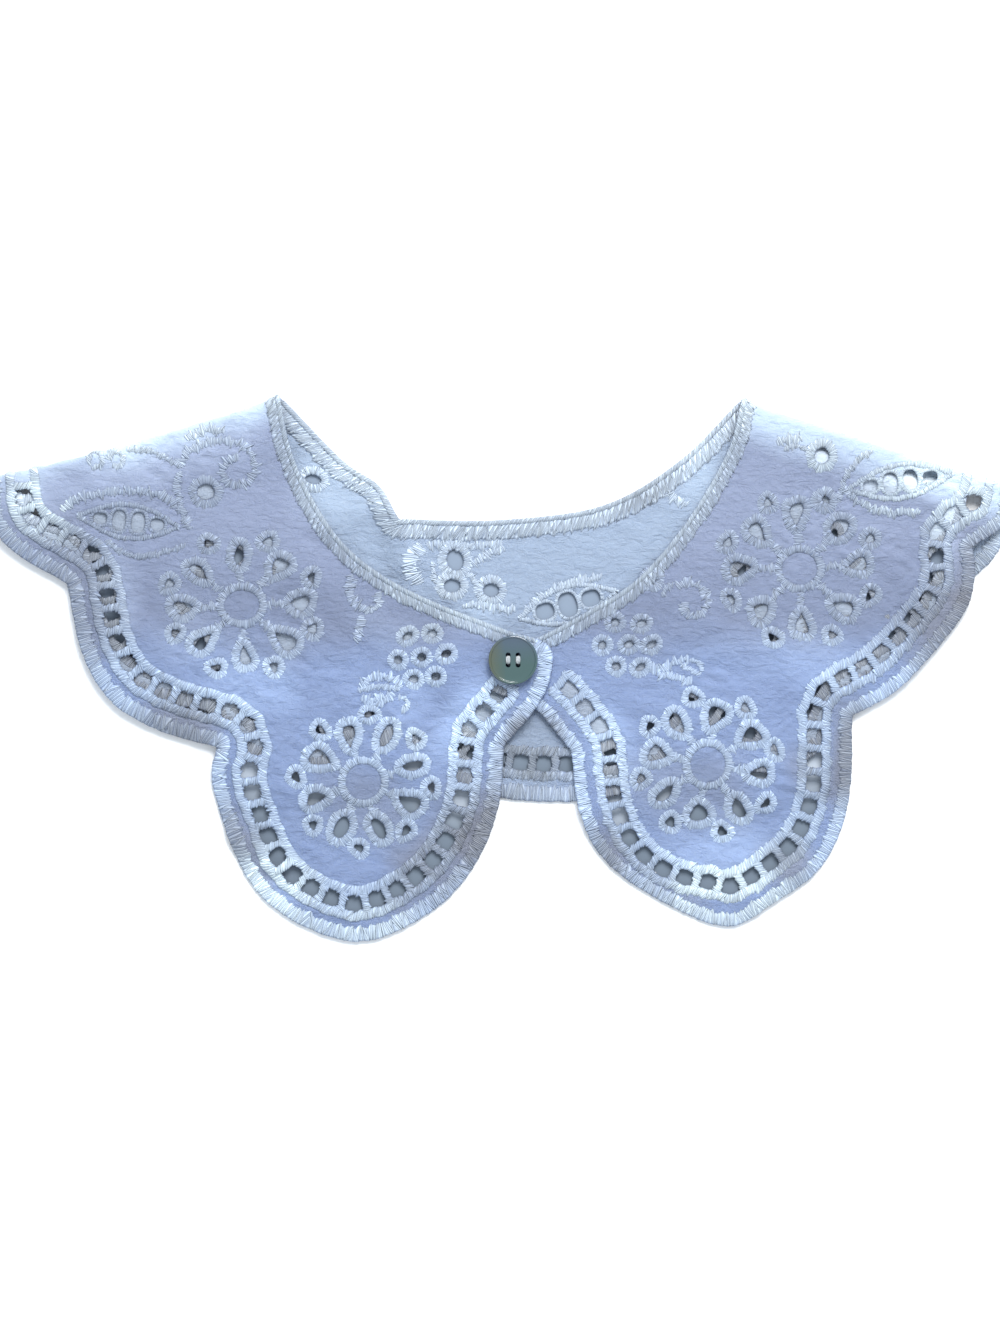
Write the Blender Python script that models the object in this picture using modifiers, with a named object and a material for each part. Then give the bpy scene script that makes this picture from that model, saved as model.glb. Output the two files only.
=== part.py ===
"""Lace collar: a scalloped ring of white eyelet cotton, buttoned and laid flat.

The ring is folded over at both shoulders, so its two fronts lie on its back, and
the front at -X laps over the one at +X under the button.  The collar's width runs
along X, its scallops point to -Y, and it rests on Z = 0.  Names that hold a length,
and the tables' numbers, are in millimetres.
"""
import math
from collections import namedtuple

import bmesh
import bpy
import numpy as np
from mathutils import Matrix, Vector
from mathutils.geometry import delaunay_2d_cdt

MM = 0.001
GAP = 0.3                # clearance between neighbouring pieces

# Cloth
WALL = 1.1               # plain cloth
EDGE_RISE = 0.4          # satin-stitched edge, above the plain cloth
LIP_RISE = 0.25          # corded rim of each cut gap
EDGE_BAND = 4.7          # width of the satin-stitched edge
EDGE_SLOPE = 0.7         # run of the step down from it
LAYER = WALL + EDGE_RISE + GAP

# Shoulder folds
FOLD_OUTER = 2.0         # radius of the outer face
FOLD_INNER = FOLD_OUTER - WALL
FOLD_STRAIGHT = 0.6      # upright stretch on each side of the parting
FOLD_RELAX = 26.0        # reach over which a front settles on the back

# Settling from one layer down to the next
STEP_CLEAR = 3.0         # level margin past the lower layer's edge
STEP_RUN = 12.0

# Meshing
EDGE_STEP = 3.9
FINE_SPACING = 4.4
COARSE_SPACING = 9.0
POINT_CLEAR = 1.7        # free points keep this far from edges
MERGE = 0.02             # points closer than this are one

# Ladder of gaps that follows the scalloped edge
LADDER_INSET = 11.3
LADDER_PITCH = 6.95
LADDER_LENGTH = 5.3      # along the row
LADDER_WIDTH = 5.1       # across it
GAP_SIDES = 8

# Flowers
PETALS = 8
PETAL_LENGTH = 5.6
PETAL_WIDTH = 3.9
RING_RADII = (5.6, 7.6)  # raised ring in the middle of a flower
RING_SIDES = 14
LEAF_GAP_LENGTH = 4.4
LEAF_GAP_SHARE = 0.58    # width of a leaf's gap, as a share of the leaf's width there
LEAF_RIM = 1.6           # width of the corded outline

# Button
BUTTON_AT = (3.9, 2.7)
BUTTON_RADIUS = 7.35
BUTTON_THICK = 2.5
BUTTON_LIP = 0.5         # width of the raised lip round its face
BUTTON_SINK = 0.3        # depth of the face below the lip
BUTTON_ROUND = 0.45      # rounding of its outer edge
BUTTON_UNDERCUT = 1.2    # how far the underside draws in
BUTTON_HOLE_RADIUS = 0.75
BUTTON_HOLE_SPREAD = 2.1
BUTTON_STANDOFF = 0.5
BUTTON_SEGMENTS = 40
SHANK_RADIUS = 1.2
SHANK_SLOT_RADIUS = 2.2

# Points where each shoulder fold meets the neck edge and the scalloped edge
Shoulder = namedtuple("Shoulder", "neck tip sag")
SHOULDERS = {
    "left": Shoulder(neck=(-66.0, 82.0), tip=(-154.2, 57.4), sag=1.7),
    "right": Shoulder(neck=(72.4, 81.0), tip=(154.2, 54.8), sag=0.4),
}

# Smooth runs of worked edge: the panel, which of its edges, whether the ladder follows it,
# and its knots (x, y)
Run = namedtuple("Run", "panel edge laddered knots")
RUNS = [
    # upper front: neck, centre front, then scallops out to the shoulder
    Run("left_front", 0, False, [(-66.0, 82.0), (-62.6, 66.0), (-56.0, 51.0), (-46.0, 36.8), (-32.7, 26.6),
                                 (-16.0, 18.6), (2.0, 11.6), (11.0, 9.2)]),
    Run("left_front", 0, True, [(11.0, 9.2), (15.2, 6.4), (15.6, 0.0), (12.0, -10.0), (1.2, -23.1)]),
    Run("left_front", 0, True, [(1.2, -23.1), (-0.6, -42.0), (-8.6, -60.6), (-22.0, -73.8), (-41.0, -81.8),
                                (-60.0, -76.8), (-74.6, -65.0), (-83.4, -45.0), (-86.6, -32.0), (-84.9, -23.4)]),
    Run("left_front", 0, True, [(-84.9, -23.4), (-102.0, -18.4), (-116.5, -9.8), (-125.4, 5.0), (-129.6, 25.5)]),
    Run("left_front", 0, True, [(-129.6, 25.5), (-145.6, 35.0), (-152.6, 44.0), (-154.2, 57.4)]),
    # lower front, in the same order
    Run("right_front", 0, False, [(72.4, 81.0), (68.0, 65.0), (55.5, 43.8), (41.0, 27.0), (25.5, 17.0),
                                  (8.0, 8.0), (-5.0, 4.6)]),
    Run("right_front", 0, True, [(-5.0, 4.6), (-9.6, 1.6), (-8.6, -4.0), (2.0, -8.4), (11.1, -12.6),
                                 (21.3, -24.6)]),
    Run("right_front", 0, True, [(21.3, -24.6), (23.6, -42.0), (31.0, -57.0), (47.0, -69.0), (68.0, -77.4),
                                 (82.0, -70.2), (97.0, -58.6), (104.6, -40.0), (105.6, -14.1)]),
    Run("right_front", 0, True, [(105.6, -14.1), (120.6, -5.0), (138.4, 15.6), (142.4, 28.0), (141.6, 36.6)]),
    Run("right_front", 0, True, [(141.6, 36.6), (151.6, 44.0), (154.2, 54.8)]),
    # back: neck, with a buckle in it, then scallops from shoulder to shoulder
    Run("back", 0, False, [(72.4, 81.0), (54.0, 62.6), (31.0, 49.2), (0.0, 44.8), (-30.3, 45.0)]),
    Run("back", 0, False, [(-30.3, 45.0), (-36.5, 55.2), (-47.4, 62.8), (-66.0, 82.0)]),
    Run("back", 1, True, [(-154.2, 57.4), (-148.0, 41.6), (-132.0, 32.6)]),
    Run("back", 1, True, [(-132.0, 32.6), (-124.0, 5.8), (-108.0, -8.6), (-88.5, -12.4)]),
    Run("back", 1, True, [(-88.5, -12.4), (-76.0, -26.4), (-57.0, -31.4), (-30.6, -21.9)]),
    Run("back", 1, True, [(-30.6, -21.9), (-12.0, -35.4), (12.0, -39.8), (38.0, -37.0), (57.0, -21.9)]),
    Run("back", 1, True, [(57.0, -21.9), (78.0, -31.2), (97.0, -24.0), (104.0, -9.6)]),
    Run("back", 1, True, [(104.0, -9.6), (126.0, 4.7), (138.4, 24.0)]),
    Run("back", 1, True, [(138.4, 24.0), (150.0, 36.0), (154.2, 54.8)]),
]

# Flowers: eight petal-shaped gaps round a plain disc
Flower = namedtuple("Flower", "panel x y reach_x reach_y turn")   # turn in degrees
FLOWERS = [
    Flower("left_front", -41.0, -33.7, 14.9, 14.9, 18.0),
    Flower("left_front", -77.4, 19.1, 17.5, 15.2, 3.0),
    Flower("right_front", 62.3, -28.6, 15.3, 15.3, 34.6),
    Flower("right_front", 89.8, 30.1, 17.8, 16.6, 2.2),
    Flower("back", -90.0, 22.0, 16.0, 15.2, 0.0),
    Flower("back", 92.0, 22.0, 16.0, 15.2, 0.0),
]

# Leaves: a pointed outline from root to tip, with a row of gaps along its middle
Leaf = namedtuple("Leaf", "panel x y end_x end_y width gaps")
LEAVES = [
    Leaf("left_front", -125.6, 45.9, -97.0, 42.6, 8.6, 4),
    Leaf("right_front", 105.0, 54.0, 134.6, 58.4, 8.2, 4),
    Leaf("back", 6.6, 15.4, 34.2, 23.2, 9.4, 3),
]

# Folds in the cloth: a soft ridge from one point to another
Fold = namedtuple("Fold", "panels x y end_x end_y half_width rise")
FOLDS = [
    Fold(("back",), -31.5, 48.0, -27.5, 33.0, 8.5, 2.6),
    Fold(("left_front",), -79.0, -50.0, -64.0, -60.0, 6.0, 1.6),
    Fold(("left_front", "right_front"), -60.0, 30.0, -22.0, 4.0, 11.0, 1.0),
    Fold(("right_front",), 52.0, 20.0, 96.0, -4.0, 12.0, 1.0),
    Fold(("right_front",), 90.0, -60.0, 76.0, -70.0, 6.0, 1.2),
    Fold(("left_front",), -120.0, 20.0, -96.0, -2.0, 9.0, 1.0),
]

# Finishes: base colour, roughness
Finish = namedtuple("Finish", "colour roughness")
COTTON = Finish((0.76, 0.79, 0.90, 1.0), 0.9)
SHELL = Finish((0.05, 0.085, 0.08, 1.0), 0.18)
THREAD = Finish((0.82, 0.86, 0.90, 1.0), 0.5)


# ---------------------------------------------------------------- plane geometry

def smooth_run(knots, step=EDGE_STEP):
    """Points at even steps along the smooth curve through the knots."""
    k = np.asarray(knots, float)
    k = np.vstack([2 * k[0] - k[1], k, 2 * k[-1] - k[-2]])
    t = np.linspace(0.0, 1.0, 20, endpoint=False)[:, None]
    fine = [0.5 * (2 * b + (c - a) * t + (2 * a - 5 * b + 4 * c - d) * t**2 + (3 * b - a - 3 * c + d) * t**3)
            for a, b, c, d in zip(k, k[1:], k[2:], k[3:])]
    return even_steps(np.vstack([*fine, k[-2][None]]), step)


def even_steps(path, step):
    """The path again, with its points an even distance apart."""
    run = run_length(path)
    count = max(2, round(run[-1] / step))
    at = np.linspace(0.0, run[-1], count + 1)
    return np.stack([np.interp(at, run, path[:, axis]) for axis in (0, 1)], axis=1)


def run_length(path):
    """Distance along the path at each of its points."""
    return np.r_[0.0, np.cumsum(np.linalg.norm(np.diff(path, axis=0), axis=1))]


def directions(path):
    """Unit direction of travel at each point of the path."""
    step = np.gradient(path, axis=0)
    return step / np.linalg.norm(step, axis=1)[:, None]


def distance_to(points, path):
    """Distance from each point to the nearest place on the path."""
    best = np.full(len(points), np.inf)
    for start, end in zip(path, path[1:]):
        along = end - start
        t = np.clip(((points - start) @ along) / max(along @ along, 1e-12), 0.0, 1.0)
        best = np.minimum(best, np.linalg.norm(points - start - t[:, None] * along, axis=1))
    return best


def is_inside(points, loop):
    """Whether each point lies inside the closed loop, by counting crossings."""
    x, y = points[:, 0], points[:, 1]
    crossed = np.zeros(len(points), bool)
    for (x0, y0), (x1, y1) in zip(loop, np.roll(loop, -1, axis=0)):
        if y0 == y1:
            continue
        crossed ^= ((y0 > y) != (y1 > y)) & (x < (x1 - x0) * (y - y0) / (y1 - y0) + x0)
    return crossed


def depth_inside(points, loop):
    """Distance in from the loop, negative outside it."""
    return distance_to(points, np.vstack([loop, loop[:1]])) * np.where(is_inside(points, loop), 1.0, -1.0)


def ease(value, low, high):
    """Smooth climb from 0 at low to 1 at high."""
    t = np.clip((value - low) / (high - low), 0.0, 1.0)
    return t * t * (3.0 - 2.0 * t)


def inset(runs, distance, inward):
    """The runs of edge moved in by a distance, with rounded turns at the notches between them."""
    moved, last = [], None
    for path in runs:
        heading = directions(path)
        normal = np.stack([-heading[:, 1], heading[:, 0]], axis=1) * inward
        if last is not None:
            start = math.atan2(last[1], last[0])
            turn = (math.atan2(normal[0][1], normal[0][0]) - start + math.pi) % math.tau - math.pi
            if turn * inward < 0.0:
                spread = start + turn * np.linspace(0.0, 1.0, 2 + round(abs(turn) * distance))[1:-1]
                moved.append(path[0] + distance * np.stack([np.cos(spread), np.sin(spread)], axis=1))
        moved.append(path + distance * normal)
        last = normal[-1]
    moved = np.vstack(moved)
    return moved[distance_to(moved, np.vstack(runs)) > 0.985 * distance]


def oval(x, y, length, width, turn, sides=GAP_SIDES):
    """Closed loop of an oval whose length points along turn, in degrees."""
    a = math.tau * (np.arange(sides) + 0.5) / sides
    c, s = math.cos(math.radians(turn)), math.sin(math.radians(turn))
    u, v = 0.5 * length * np.cos(a), 0.5 * width * np.sin(a)
    return np.stack([x + c * u - s * v, y + s * u + c * v], axis=1)


def pointed_oval(leaf, grow, side_points=7):
    """Closed loop of a leaf's outline, grown outwards by a width."""
    root, tip = np.array([leaf.x, leaf.y]), np.array([leaf.end_x, leaf.end_y])
    length = np.linalg.norm(tip - root)
    along = (tip - root) / length
    across = np.array([-along[1], along[0]])
    share = np.linspace(0.0, 1.0, side_points + 1)[:-1]
    half = (0.5 * leaf.width + grow) * np.sin(math.pi * share)
    run = share * (length + 2 * grow) - grow
    upper = root + run[:, None] * along + half[:, None] * across
    lower = root + (length - run)[:, None] * along - half[:, None] * across
    return np.vstack([upper, lower])


# ---------------------------------------------------------------- shoulder folds

class FoldLine:
    """A shoulder fold: how the flat-cut cloth rolls over at it."""

    def __init__(self, shoulder, inward_from):
        self.start = np.array(shoulder.neck)
        span = np.array(shoulder.tip) - self.start
        self.length = np.linalg.norm(span)
        self.along = span / self.length
        self.inward = np.array([-self.along[1], self.along[0]])
        if (np.array(inward_from) - self.start) @ self.inward < 0.0:
            self.inward = -self.inward
        self.sag = shoulder.sag

    def split(self, points):
        """Distance along the fold line and in from it."""
        local = points - self.start
        along = local @ self.along
        share = np.clip(along / self.length, 0.0, 1.0)
        return along, local @ self.inward - 4.0 * self.sag * share * (1.0 - share)

    def line(self, depth, spare, step=EDGE_STEP):
        """Points along the fold line at a depth, run on past both ends by spare."""
        along = np.linspace(-spare, self.length + spare, round((self.length + 2 * spare) / step) + 1)
        share = np.clip(along / self.length, 0.0, 1.0)
        deep = depth + 4.0 * self.sag * share * (1.0 - share)
        return self.start + along[:, None] * self.along + deep[:, None] * self.inward


def roll_rows(radius):
    """Depths, in the flat-cut cloth, where the roll starts, is half way, ends, and is parted."""
    quarter = radius * math.pi / 2
    flat = FOLD_OUTER
    return [flat, flat - quarter / 2, flat - quarter, flat - quarter - FOLD_STRAIGHT + GAP / 2]


def rolled(points, fold, radius):
    """Place of flat-cut points after the roll: the plan, and the rise from the level stretch."""
    _, depth = fold.split(points)
    run = np.maximum(FOLD_OUTER - depth, 0.0)
    quarter = radius * math.pi / 2
    angle = np.minimum(run / radius, math.pi / 2)
    upright = np.maximum(run - quarter, 0.0)
    plan_depth = np.where(run > 0.0, FOLD_OUTER - radius * np.sin(angle), depth)
    rise = radius * (1.0 - np.cos(angle)) + upright
    return points + (plan_depth - depth)[:, None] * fold.inward, rise


MIDDLE = (0.0, 0.0)
LEFT_FOLD = FoldLine(SHOULDERS["left"], MIDDLE)
RIGHT_FOLD = FoldLine(SHOULDERS["right"], MIDDLE)


# ---------------------------------------------------------------- panels laid flat

class Panel:
    """One stretch of the collar's cloth, cut flat: its edges, its gaps, and the folds it ends at."""

    def __init__(self, name, folds, inward, first_gap):
        self.name = name
        self.folds = folds
        self.inward = inward
        runs = [run for run in RUNS if run.panel == name]
        self.edges = [[smooth_run(run.knots) for run in runs if run.edge == edge]
                      for edge in sorted({run.edge for run in runs})]
        laddered = [smooth_run(run.knots) for run in runs if run.laddered]
        self.gaps = self.ladder(laddered, first_gap) + self.flower_gaps() + self.leaf_gaps()
        self.rings = self.flower_rings() + self.leaf_rims()

    def loop(self):
        """The panel's outline as it lies, folds included."""
        return np.vstack([run for runs in self.edges for run in runs])

    def nearest_fold(self, point):
        """The fold that an end of an edge runs into."""
        return min(self.folds, key=lambda fold: abs(fold.split(point[None])[1][0]))

    def carried_past_folds(self, spare=5.0):
        """The edges again, each carried straight on past the fold at both its ends."""
        carried = []
        for runs in self.edges:
            first, last = runs[0][0], runs[-1][-1]
            before = first - spare * self.nearest_fold(first).inward
            after = last - spare * self.nearest_fold(last).inward
            whole = [run.copy() for run in runs]
            whole[0] = np.vstack([before, whole[0]])
            whole[-1] = np.vstack([whole[-1], after])
            carried.append(whole)
        return carried

    def ladder(self, runs, first_gap):
        """The row of gaps inside the scalloped edge."""
        row = inset(runs, LADDER_INSET, self.inward)
        run = run_length(row)
        count = round((run[-1] - first_gap) / LADDER_PITCH)
        gaps = []
        for at in np.linspace(first_gap, run[-1] - LADDER_PITCH, count):
            x, y = (np.interp(at, run, row[:, axis]) for axis in (0, 1))
            ahead_x, ahead_y = (np.interp(at + 0.5, run, row[:, axis]) for axis in (0, 1))
            turn = math.degrees(math.atan2(ahead_y - y, ahead_x - x))
            gaps.append(oval(x, y, LADDER_LENGTH, LADDER_WIDTH, turn))
        return gaps

    def flower_gaps(self):
        """The petals of the panel's flowers."""
        gaps = []
        for flower in (f for f in FLOWERS if f.panel == self.name):
            for petal in range(PETALS):
                turn = flower.turn + petal * 360.0 / PETALS
                x = flower.x + flower.reach_x * math.cos(math.radians(turn))
                y = flower.y + flower.reach_y * math.sin(math.radians(turn))
                gaps.append(oval(x, y, PETAL_LENGTH, PETAL_WIDTH, turn))
        return gaps

    def flower_rings(self):
        """Inner and outer line of the raised ring in the middle of each flower."""
        return [oval(flower.x, flower.y, 2 * radius, 2 * radius * flower.reach_y / flower.reach_x, 0.0,
                     RING_SIDES)
                for flower in FLOWERS if flower.panel == self.name for radius in RING_RADII]

    def leaf_rims(self):
        """Inner and outer line of the corded outline of each leaf."""
        return [pointed_oval(leaf, grow)
                for leaf in LEAVES if leaf.panel == self.name for grow in (0.0, LEAF_RIM)]

    def leaf_gaps(self):
        """The gaps inside the panel's leaves, narrower towards both ends."""
        gaps = []
        for leaf in (leaf for leaf in LEAVES if leaf.panel == self.name):
            turn = math.degrees(math.atan2(leaf.end_y - leaf.y, leaf.end_x - leaf.x))
            for share in np.arange(1, leaf.gaps + 1) / (leaf.gaps + 1.0):
                width = LEAF_GAP_SHARE * leaf.width * math.sin(math.pi * share)
                x = leaf.x + share * (leaf.end_x - leaf.x)
                y = leaf.y + share * (leaf.end_y - leaf.y)
                gaps.append(oval(x, y, LEAF_GAP_LENGTH, max(width, 0.75 * LEAF_GAP_LENGTH), turn))
        return gaps


def on_the_back(points):
    """How far a front is lifted by the back under it: a full layer over it, none clear of it."""
    depth = depth_inside(points, BACK.loop())
    return LAYER * ease(depth, -STEP_CLEAR - STEP_RUN, -STEP_CLEAR)


def on_the_lap(points):
    """How far the upper front is lifted by the lower one's lap."""
    depth = depth_inside(points, RIGHT.loop())
    return LAYER * ease(depth, -STEP_CLEAR - STEP_RUN, -STEP_CLEAR)


def fold_waves(points, panel_name):
    """Height of the soft folds in a panel."""
    height = np.zeros(len(points))
    for fold in (fold for fold in FOLDS if panel_name in fold.panels):
        ridge = np.array([(fold.x, fold.y), (fold.end_x, fold.end_y)])
        away = distance_to(points, ridge)
        height += fold.rise * (1.0 - ease(away, 0.0, fold.half_width))
    return height


def lower_face(panel, flat_points):
    """Places of the panel's lower face, from points of its flat cut."""
    if panel is BACK:
        plan, rise = flat_points, np.zeros(len(flat_points))
        for fold in panel.folds:
            near = fold.split(flat_points)[1] < FOLD_OUTER
            moved, up = rolled(flat_points, fold, FOLD_OUTER)
            plan = np.where(near[:, None], moved, plan)
            rise = np.where(near, up, rise)
        height = rise + fold_waves(plan, panel.name)
    else:
        fold = panel.folds[0]
        plan, rise = rolled(flat_points, fold, FOLD_INNER)
        _, depth = fold.split(flat_points)
        crest = FOLD_OUTER + 2.0 * FOLD_STRAIGHT + FOLD_INNER
        settling = (crest - LAYER) * (1.0 - ease(depth, FOLD_OUTER, FOLD_RELAX))
        height = on_the_back(plan) + settling - rise + fold_waves(plan, panel.name)
        if panel is LEFT:
            height += on_the_lap(plan)
    return np.column_stack([plan, height])


def free_points(panel, lines):
    """Points spread over the panel, closer together where it steps between layers."""
    low, high = panel.loop().min(axis=0), panel.loop().max(axis=0)
    spread = []
    for spacing in (FINE_SPACING, COARSE_SPACING):
        rows = np.arange(low[1], high[1], spacing * math.sqrt(0.75))
        columns = np.arange(low[0], high[0], spacing)
        grid = np.array([(x + 0.5 * spacing * (index % 2), y) for index, y in enumerate(rows) for x in columns])
        spread.append((grid, spacing))
    kept = []
    for grid, spacing in spread:
        grid = grid[is_inside(grid, panel.loop())]
        grid = grid[steps_down(panel, grid) == (spacing == FINE_SPACING)]
        for line in [*lines, *panel.rings]:
            grid = grid[distance_to(grid, line) > POINT_CLEAR]
        for gap in panel.gaps:
            middle = gap.mean(axis=0)
            reach = np.linalg.norm(gap - middle, axis=1).max() + 0.25 * spacing
            grid = grid[np.linalg.norm(grid - middle, axis=1) > reach]
        kept.append(grid)
    return np.vstack(kept)


def steps_down(panel, points):
    """Whether each point lies where the panel comes down from one layer to the next, or buckles."""
    if panel is BACK:
        return fold_waves(points, "back") > 0.0
    step = np.abs(depth_inside(points, BACK.loop()) + STEP_CLEAR + STEP_RUN / 2) < STEP_RUN / 2 + 2.0
    if panel is LEFT:
        lap = depth_inside(points, RIGHT.loop()) > -STEP_CLEAR - STEP_RUN
        step |= lap
    return step


def triangulated(panel):
    """The panel's flat cut as points and triangles, with a mark on the rims of its gaps."""
    radius = FOLD_OUTER if panel is BACK else FOLD_INNER
    rows = [fold.line(depth, spare=6.0) for fold in panel.folds for depth in roll_rows(radius)]
    carried = panel.carried_past_folds()
    outline = np.vstack([run for runs in carried for run in runs])
    bands = [inset(runs, width, panel.inward)
             for runs in carried for width in (EDGE_BAND, EDGE_BAND + EDGE_SLOPE)]
    scattered = free_points(panel, [*rows, *bands, *[np.vstack(runs) for runs in carried]])

    points, links = [], []
    for line, closed in [(outline, True), *((row, False) for row in rows),
                         *((band, False) for band in bands),
                         *((ring, True) for ring in panel.rings), *((gap, True) for gap in panel.gaps)]:
        first = len(points)
        points.extend(line)
        links.extend((first + i, first + i + 1) for i in range(len(line) - 1))
        if closed:
            links.append((first + len(line) - 1, first))
    points.extend(scattered)
    places, _, faces, *_ = delaunay_2d_cdt([Vector(p) for p in points], links, [], 0, MERGE, False)
    places, faces = np.array([tuple(p) for p in places]), np.array(faces)

    centres = places[faces].mean(axis=1)
    keep = is_inside(centres, outline)
    for fold in panel.folds:
        keep &= fold.split(centres)[1] > roll_rows(radius)[-1]
    for gap in panel.gaps:
        near = np.linalg.norm(centres - gap.mean(axis=0), axis=1) < PETAL_LENGTH
        keep[near] &= ~is_inside(centres[near], gap)
    faces = faces[keep]
    used, faces = np.unique(faces, return_inverse=True)
    return places[used], faces.reshape(-1, 3)


def wall_thickness(panel, flat_points):
    """Thickness of the cloth at each point: raised along the worked edge, round each gap and on each ring."""
    edge = np.min([distance_to(flat_points, np.vstack(runs)) for runs in panel.carried_past_folds()], axis=0)
    thickness = WALL + EDGE_RISE * (edge < EDGE_BAND + MERGE)
    for line in [*panel.gaps, *panel.rings]:
        on_line = distance_to(flat_points, np.vstack([line, line[:1]])) < MERGE
        thickness[on_line] = WALL + LIP_RISE
    return thickness


# ---------------------------------------------------------------- scene objects

def make_material(name, finish):
    """Principled material with the finish's colour and roughness."""
    material = bpy.data.materials.new(name)
    material.use_nodes = True
    shader = material.node_tree.nodes["Principled BSDF"]
    shader.inputs["Base Color"].default_value = finish.colour
    shader.inputs["Roughness"].default_value = finish.roughness
    shader.inputs["Metallic"].default_value = 0.0
    return material


def add_object(name, mesh, material, collection, parent):
    """Object of the mesh, in the collection and under the parent."""
    piece = bpy.data.objects.new(name, mesh)
    piece.data.materials.append(material)
    collection.objects.link(piece)
    piece.parent = parent
    return piece


def add_cloth(panel, material, collection, parent):
    """A panel's solid: its lower face, thickened upwards."""
    flat_points, faces = triangulated(panel)
    mesh = bpy.data.meshes.new(panel.name)
    mesh.from_pydata((lower_face(panel, flat_points) * MM).tolist(), [], faces.tolist())
    piece = add_object(panel.name, mesh, material, collection, parent)
    full = WALL + EDGE_RISE
    group = piece.vertex_groups.new(name="wall")
    for index, thickness in enumerate(wall_thickness(panel, flat_points)):
        group.add([index], thickness / full, "REPLACE")
    wall = piece.modifiers.new("Wall", "SOLIDIFY")
    wall.thickness = full * MM
    wall.offset = 1.0
    wall.vertex_group = group.name
    return piece


def add_cutters(collection, base_height):
    """Four upright pins that bore the button's holes."""
    cutters = []
    for index in range(4):
        turn = math.tau * (index + 0.5) / 4
        bpy.ops.mesh.primitive_cylinder_add(
            vertices=12, radius=BUTTON_HOLE_RADIUS * MM, depth=4 * BUTTON_THICK * MM,
            location=((BUTTON_AT[0] + BUTTON_HOLE_SPREAD * math.cos(turn)) * MM,
                      (BUTTON_AT[1] + BUTTON_HOLE_SPREAD * math.sin(turn)) * MM, base_height * MM))
        cutter = bpy.context.object
        cutter.name = f"button_bore_{index + 1}"
        cutter.hide_render = True
        cutter.display_type = "WIRE"
        for owner in cutter.users_collection:
            owner.objects.unlink(cutter)
        collection.objects.link(cutter)
        cutters.append(cutter)
    return cutters


def button_profile():
    """Half outline of the button as (x, z), down its outer side: face, raised lip, round edge, underside."""
    corner_x, corner_z = BUTTON_RADIUS - BUTTON_ROUND, BUTTON_THICK - BUTTON_ROUND
    edge = [(corner_x + BUTTON_ROUND * math.sin(a), corner_z + BUTTON_ROUND * math.cos(a))
            for a in np.linspace(0.0, math.pi / 2, 4)]
    face_z = BUTTON_THICK - BUTTON_SINK
    return [(0.0, face_z), (corner_x - BUTTON_LIP, face_z), *edge,
            (BUTTON_RADIUS, BUTTON_ROUND), (BUTTON_RADIUS - BUTTON_UNDERCUT, 0.0), (0.0, 0.0)]


def add_button(base_height, material, collection, cutter_collection, parent):
    """Turned four-hole button with a round edge and a low lip."""
    profile = button_profile()
    mesh = bpy.data.meshes.new("button")
    mesh.from_pydata([(x * MM, 0.0, z * MM) for x, z in profile],
                     [(i, i + 1) for i in range(len(profile) - 1)], [])
    button = add_object("button", mesh, material, collection, parent)
    button.location = (BUTTON_AT[0] * MM, BUTTON_AT[1] * MM, base_height * MM)
    turning = button.modifiers.new("Turned", "SCREW")
    turning.steps = turning.render_steps = BUTTON_SEGMENTS
    turning.use_merge_vertices = True
    turning.merge_threshold = 0.01 * MM
    for cutter in add_cutters(cutter_collection, base_height):
        bore = button.modifiers.new("Bore", "BOOLEAN")
        bore.operation = "DIFFERENCE"
        bore.solver = "EXACT"
        bore.object = cutter
    return button


def add_shank(low, high, material, collection, parent):
    """Wound thread between the lower front and the button, through the upper front's slot."""
    mesh = bpy.data.meshes.new("button_thread")
    form = bmesh.new()
    bmesh.ops.create_cone(form, cap_ends=True, segments=12, radius1=SHANK_RADIUS * MM, radius2=SHANK_RADIUS * MM,
                          depth=(high - low) * MM,
                          matrix=Matrix.Translation((0.0, 0.0, 0.5 * (high - low) * MM)))
    form.to_mesh(mesh)
    form.free()
    shank = add_object("button_thread", mesh, material, collection, parent)
    shank.location = (BUTTON_AT[0] * MM, BUTTON_AT[1] * MM, low * MM)
    return shank


LEFT = Panel("left_front", [LEFT_FOLD], inward=-1.0, first_gap=8.0)
LEFT.gaps.append(oval(*BUTTON_AT, 2 * SHANK_SLOT_RADIUS, 2 * SHANK_SLOT_RADIUS, 0.0))
RIGHT = Panel("right_front", [RIGHT_FOLD], inward=1.0, first_gap=14.0)
BACK = Panel("back", [LEFT_FOLD, RIGHT_FOLD], inward=1.0, first_gap=LADDER_PITCH)


def main():
    """Build the collar in its own collection."""
    for old in list(bpy.data.objects):
        bpy.data.objects.remove(old, do_unlink=True)
    collar = bpy.data.collections.new("lace_collar")
    cutters = bpy.data.collections.new("cutters")
    bpy.context.scene.collection.children.link(collar)
    bpy.context.scene.collection.children.link(cutters)
    frame = bpy.data.objects.new("collar_frame", None)
    collar.objects.link(frame)

    for panel in (BACK, RIGHT, LEFT):
        add_cloth(panel, make_material(f"cotton_{panel.name}", COTTON), collar, frame)
    lap_top = LAYER + WALL + EDGE_RISE
    button_base = lap_top + LAYER + BUTTON_STANDOFF
    add_button(button_base, make_material("smoked_shell", SHELL), collar, cutters, frame)
    add_shank(lap_top + GAP, button_base - GAP, make_material("sewing_thread", THREAD), collar, frame)


main()
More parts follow.
